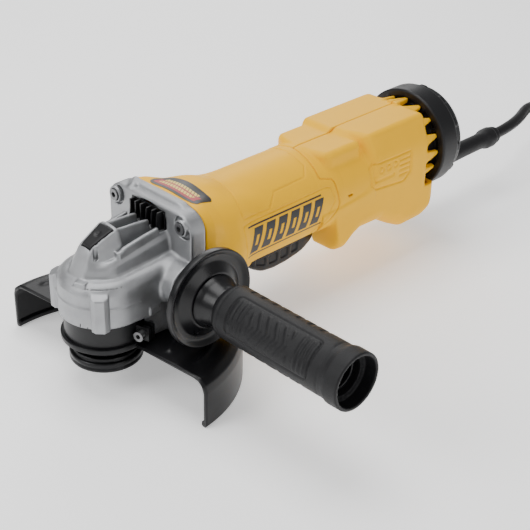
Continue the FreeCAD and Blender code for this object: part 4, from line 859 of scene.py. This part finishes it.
def handle_lathe(name, outline, rounding):
    turned = [(r, HANDLE_BASE - d) for r, d in outline]
    return lathe(name, turned, "Y", (HANDLE_X, 0, HANDLE_Z), rounding=rounding)


def grip_field(x, y, z):
    """Sleeve with a bordered pad of bars and chevrons on two sides and short flats between them."""
    d = HANDLE_BASE - y
    reach = length2(x - HANDLE_X, z - HANDLE_Z)
    turn = np.degrees(np.arctan2(z - HANDLE_Z, -(x - HANDLE_X)))  # 0 towards the nose, 90 up
    radius = smooth_profile(d, GRIP_PROFILE, 0.6)
    body = rounded(reach - radius, slab(d, GRIP_START, GRIP_END), 0.8)
    for middle in (42.0, 119.5):
        body = smooth_cut(body, length2(reach - 16.9, d - middle) - 0.9, 0.3)
    facing = np.abs((turn - 36 + 180) % 360 - 180)
    back = np.abs((turn - 216 + 180) % 360 - 180)
    arc = np.radians(np.minimum(facing, back)) * GRIP_R
    off_middle = np.abs(d - PAD_MIDDLE)
    pad = box2(arc, d - PAD_MIDDLE, PAD_HALF_ARC, PAD_HALF_LENGTH, 3.0)
    body = groove(body, np.abs(pad), 1.0, 0.7)
    ends = np.where((d > 48) & (d < 114), np.minimum(np.abs(d - 57), np.abs(d - 105)), 9)
    bars = common(np.abs((d - 50) % 3.4 - 1.7) - 0.8, pad + 2.0, ends - 5.0)
    chevron = np.abs((d + 0.55 * arc - 65) % 6.4 - 3.2) - 1.3
    chevron = common(chevron, pad + 2.6, off_middle - 15.5)
    body = smooth_union(body, common(np.minimum(bars, chevron), reach - radius - 0.45), 0.3)
    side = np.minimum(np.abs(facing - 90), np.abs(back - 90))
    flats = common(np.abs((d - 46) % 9.0 - 4.5) - 1.6, side - 22, off_middle - 31)
    body = smooth_cut(body, common(flats, 15.8 - reach), 0.4)
    return common(body, np.where(d > 126, 15.2, 12.0) - reach)


def make_side_handle():
    disc = handle_lathe("handle_guard_disc", DISC_PROFILE, 0.9)
    place(disc, "handle_gloss", "side_handle_flange")
    core = handle_lathe("handle_core_tube", CORE_PROFILE, 0.8)
    place(core, "handle_gloss", "side_handle_core")
    grip = field_mesh("handle_grip_sleeve", grip_field, (16, 52, -171, -71.5, 37, 73))
    place(grip, "grip_rubber", "side_handle_grip")


# ---- guard ----
GUARD_START, GUARD_SWEEP, GUARD_STEPS = -85.4, 182.2, 150  # degrees, degrees, columns
TOP_RUN = 1.5  # longest stretch of the cover's top without a point, for the beads
BEADS = ((46, 2.4), (67, 2.0))  # radius and width of the pressed beads
BEAD_HEIGHT, BEAD_MARGIN, BEAD_FADE = 1.1, 7, 4


def subdivided(points, longest):
    """The outline with extra points on its long runs."""
    out = []
    for (a, b), (c, d) in zip(points[:-1], points[1:]):
        parts = max(1, int(math.hypot(c - a, d - b) / longest))
        out += [(a + (c - a) * s / parts, b + (d - b) * s / parts) for s in range(parts)]
    return out + [points[-1]]


GUARD_RIM = [
    (77.0, 20.2), (79.6, 17.6), (81.0, 13.5), (81.0, -5.5), (79.4, -6.4), (79.2, -9.2), (80.4, -10.0),
    (82.2, -10.0), (83.0, -8.8), (83.0, 14.2), (81.6, 19.0), (78.0, 22.2),
]
GUARD_EDGE = (74.0, 23.0)
GUARD_PROFILE = (subdivided([(25.2, 21.0), (73.5, 21.0)], TOP_RUN) + GUARD_RIM
                 + subdivided([GUARD_EDGE, (25.2, 23.0)], TOP_RUN))
HUB_PROFILE = [(21.7, 21.0), (26.8, 21.0), (26.8, 24.2), (24.9, 24.5), (21.7, 24.5)]


def bead_rise(r, h, edge):
    """Height added to the cover's top at a radius, edge degrees away from the nearer end."""
    if h <= 19 or edge <= BEAD_MARGIN:
        return 0.0
    fade = min(1.0, (edge - BEAD_MARGIN) / BEAD_FADE)
    return BEAD_HEIGHT * fade * sum(math.exp(-((r - middle) / width) ** 2) for middle, width in BEADS)


def make_guard():
    """Pressed cover with a rolled rim, concentric beads and a welded hub ring."""
    ring = fillet(GUARD_PROFILE, 1.0, sharp=[GUARD_EDGE])
    bm = bmesh.new()
    columns = []
    for k in range(GUARD_STEPS + 1):
        a = math.radians(GUARD_START + GUARD_SWEEP * k / GUARD_STEPS)
        edge = min(k, GUARD_STEPS - k) / GUARD_STEPS * GUARD_SWEEP
        columns.append([
            bm.verts.new(Vector((r * math.cos(a), r * math.sin(a), h + bead_rise(r, h, edge))) * MM)
            for r, h in ring
        ])
    join_capped(bm, columns)
    place(bm_object("guard_cover", bm), "guard_paint", body="guard")
    hub = lathe("guard_hub_ring", HUB_PROFILE)
    place(hub, "guard_paint", "guard_shell", body="guard")


# ---- spindle hardware ----
BACKING_PROFILE = [
    (8.0, 13.8), (17.4, 13.8), (18.5, 14.8), (18.5, 16.9), (21.3, 17.6), (21.3, 21.0), (20.4, 22.0),
    (8.0, 22.0),
]
NUT_BORE_R, NUT_HOLES_AT, NUT_HOLE_R = 8.0, 15, 2.5


def clamp_nut_field(x, y, z):
    reach = length2(x, y)
    body = rounded(reach - 22.5, slab(z, 5.2, 11.6), 1.1)
    body = smooth_union(body, rounded(reach - 20.4, slab(z, 9, 13.7), 0.5), 0.4)
    body = smooth_cut(body, length2(reach - 22.9, z - 8.2) - 0.9, 0.3)
    for k in range(4):
        a = math.radians(45 + 90 * k)
        hole = length2(x - NUT_HOLES_AT * math.cos(a), y - NUT_HOLES_AT * math.sin(a)) - NUT_HOLE_R
        body = smooth_cut(body, common(hole, z - 10.2), 0.3)
    return common(body, NUT_BORE_R - reach)


def make_spindle_hardware():
    nut = field_mesh("clamp_nut_body", clamp_nut_field, (-23, 23, -23, 23, 5, 14), CELL * 0.8)
    place(nut, "nut_steel", "clamp_nut", body="spindle")
    backing = lathe("backing_flange_ring", BACKING_PROFILE)
    place(backing, "black_steel", "backing_flange", body="spindle")


# ---- paddle ----
PADDLE_HALF = [(103, 10.5), (108, 15.5), (118, 16.8), (156, 16.5), (164, 15.2), (168.5, 12.5)]
PADDLE_LOW = [
    (103, 33), (104.5, 30.5), (110, 25), (118, 20.8), (128, 19.2), (140, 19.6), (152, 21.6), (160, 24.6),
    (168.5, 29),
]
PADDLE_TOP = [(103, 34.8), (140, 36.6), (150, 36.0), (158, 34.4), (168.5, 33.0)]
PADDLE_DENTS = ((111, 119), (122, 130), (133, 140), (143, 149))


def paddle_field(x, y, z):
    """Hollow grip with dented sides, the arm to its pin and the lock-off lever's ears."""
    low = smooth_profile(x, PADDLE_LOW, 2.0)
    top = smooth_profile(x, PADDLE_TOP, 2.0)
    half = smooth_profile(x, PADDLE_HALF, 1.5)
    width = np.abs(y) - half + 0.08 * np.maximum(31 - z, 0)
    shell = rounded(width, low - z, 4.0)
    shell = rounded(common(shell, z - top), slab(x, 103.2, 168.2), 2.4)
    shell = cut(shell, width + 2.2, low + 2.2 - z, slab(x, 106, 162))
    for x0, x1 in PADDLE_DENTS:
        dent = rounded(slab(x, x0, x1), np.abs(z - (top + low) / 2 - 1.4) - 0.2 * (top - low), 1.0)
        shell = smooth_cut(shell, common(dent, half - 1.1 - np.abs(y)), 0.4)
    arm = rounded(np.abs(y) - 7.8, common(slab(x, 158, 178.6), slab(z, 29.4, 36.6)), 0.8)
    shell = np.minimum(shell, rounded(arm, length2(x - 160, z - PIVOT_Z) - 18.7, 0.5))
    shell = cut(shell, slab(x, 139, 156), np.abs(y) - 4.5, z - 27)
    ears = common(slab(x, 149, 155), slab(np.abs(y), 4.8, 7.6), slab(z, 22.5, 31))
    shell = np.minimum(shell, rounded(ears, ears, 0.2))
    shell = cut(shell, length2(x - 152, z - 28) - 1.35, np.abs(y) - 9)
    return cut(shell, length2(x - PIVOT_X, z - PIVOT_Z) - 2.03, np.abs(y) - 30)


def make_paddle():
    paddle = field_mesh("paddle_grip", paddle_field, (102, 180, -18, 18, 18, 39))
    place(paddle, "paddle_plastic", "paddle_lever", body="paddle")


# ---- printed film ----
SKIN_R_LOW, SKIN_R_HIGH, HALVINGS = 26.0, 46.0, 18
FILM_ROOT = 0.1  # how far a film's underside lies below its lift


def skin_reach(x, turn):
    """Radius of the housing's surface round the motor axis; turn is measured from the top towards -Y."""
    low, high = np.full(x.shape, SKIN_R_LOW), np.full(x.shape, SKIN_R_HIGH)
    for _ in range(HALVINGS):
        mid = (low + high) / 2
        out = housing_form(x, -mid * np.sin(turn), MOTOR_Z + mid * np.cos(turn)) > 0
        low, high = np.where(out, low, mid), np.where(out, mid, high)
    return (low + high) / 2


def printed(name, xs, turns, keep, lift, depth, ink):
    """Thin film on the housing's skin, kept where keep(x, turn in degrees) is negative.
    xs and turns are first, last and count; lift and depth are millimetres above the skin."""
    x, turn = np.meshgrid(np.linspace(*xs), np.radians(np.linspace(*turns)), indexing="ij")
    reach = skin_reach(x, turn)
    bm = bmesh.new()

    def point(a, r, t):
        return bm.verts.new(Vector((a, -r * math.sin(t), MOTOR_Z + r * math.cos(t))) * MM)

    def layer(height):
        return [[point(*spot) for spot in zip(*rows)] for rows in zip(x, reach + height, turn)]

    low, high = layer(lift - FILM_ROOT), layer(lift + depth)
    x_mid, turn_mid = (x[1:, 1:] + x[:-1, :-1]) / 2, np.degrees(turn[1:, 1:] + turn[:-1, :-1]) / 2
    wanted = {(int(i), int(j)) for i, j in zip(*np.nonzero(keep(x_mid, turn_mid) < 0))}
    for i, j in wanted:
        cell = ((i, j), (i + 1, j), (i + 1, j + 1), (i, j + 1))
        bm.faces.new([high[a][b] for a, b in cell])
        bm.faces.new([low[a][b] for a, b in reversed(cell)])
        for k, (di, dj) in enumerate(((0, -1), (1, 0), (0, 1), (-1, 0))):
            if (i + di, j + dj) not in wanted:
                (a, b), (c, d) = cell[k], cell[(k + 1) % 4]
                bm.faces.new((low[a][b], low[c][d], high[c][d], high[a][b]))
    bmesh.ops.delete(bm, geom=[v for v in bm.verts if not v.link_faces], context="VERTS")
    return place(bm_object(name, bm, smooth=False), "label_film", material=ink)


def label_outline(x, turn):
    return box2(x - 60.0, (turn - 3.5) * 0.66, 8.4, 19.6, 3.0)


def label_bars(x, turn):
    rows = np.minimum(np.abs(x - 57.2) - 1.5, np.abs(x - 61.6) - 1.5)
    gaps = 0.45 - np.abs((turn + 0.9 * x) % 3.6 - 1.8)
    return common(rows, gaps, slab(turn, -19.0, 24.0))


def label_stripe(x, turn):
    return common(np.abs(x - 57.3) - 3.5, slab(turn, -23.0, 28.5))


def side_marks(x, turn):
    """Two rules with six slanted, slotted blocks between them."""
    z = MOTOR_Z + 32.6 * np.cos(np.radians(turn))
    rules = np.minimum(np.abs(z - 71.0) - 0.5, np.abs(z - 51.0) - 0.5)
    rules = common(rules, slab(x, 88, 154.5))
    slant = x - 0.34 * (z - 60)
    step = (slant - 90) % 10.9
    blocks = common(np.abs(step - 4.7) - 3.9, slab(slant, 90, 153.4))
    blocks = common(blocks, slab(z, 52.9, 69.1))
    return np.minimum(rules, cut(blocks, np.abs(step - 5.2) - 1.2, np.abs(z - 60.9) - 3.2))


def make_prints():
    """Crown label with pale bars and a red stripe, and the plain block pattern of the left side panel."""
    film = FINISH["label_film"]
    label = printed("crown_label", (51, 69, 73), (-27, 34, 123), label_outline, 0.15, 0.15, film)
    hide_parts("top_label")
    printed("crown_label_bars", (54, 65, 111), (-20, 25, 181), label_bars, 0.36, 0.05, INK_PALE)
    printed("crown_label_stripe", (53, 66, 66), (-24, 29, 107), label_stripe, 0.31, 0.03, INK_RED)
    printed("side_panel_print", (86, 159, 366), (68, 110, 170), side_marks, 0.0, 0.06, INK_BLACK)


# ---- fan baffle ----
FIN_PLACES = (-12.0, -7.2, -2.4, 2.4, 7.2, 12.0)
FIN_FOOT, FIN_HEIGHT, FIN_STEPS = 82.4, 12.2, 16
FIN_SECTION = ((32.0, -0.5), (36.0, -0.65), (36.0, 0.65), (32.0, 0.5))
FRAME_XS = (36.0, 36.95)
FRAME_BARS = (  # y0, y1, z0, z1
    (-15.1, 15.1, 82.25, 83.2), (-15.1, 15.1, 93.8, 94.7),
    (-15.1, -14.3, 83.2, 93.8), (14.3, 15.1, 83.2, 93.8),
)
BOX_FACES = ((0, 1, 3, 2), (4, 6, 7, 5), (0, 4, 5, 1), (2, 3, 7, 6), (0, 2, 6, 4), (1, 5, 7, 3))


def make_fan_baffle():
    """Curved guide fins in a frame, behind the exhaust opening."""
    bm = bmesh.new()
    for y in FIN_PLACES:
        rows = []
        for k in range(FIN_STEPS + 1):
            t = k / FIN_STEPS
            z = FIN_FOOT + FIN_HEIGHT * t
            bend = y + 2.2 * (t - 0.5) ** 2 * (1 if y > 0 else -1) - 0.9 * (t - 0.5)
            rows.append([bm.verts.new(Vector((x, bend + w, z)) * MM) for x, w in FIN_SECTION])
        join_capped(bm, rows)
    for y0, y1, z0, z1 in FRAME_BARS:
        v = [bm.verts.new(Vector((x, y, z)) * MM) for x in FRAME_XS for y in (y0, y1) for z in (z0, z1)]
        for face in BOX_FACES:
            bm.faces.new([v[i] for i in face])
    fins = bm_object("exhaust_fins", bm, smooth=False)
    place(fins, "black_plastic", "fan_baffle")


finish_cad_nodes()
make_gear_case()
make_housings()
make_rear_cap()
make_strain_relief()
make_side_handle()
make_cord()
make_guard()
make_spindle_hardware()
make_paddle()
make_prints()
make_fan_baffle()
make_stage()
make_camera()
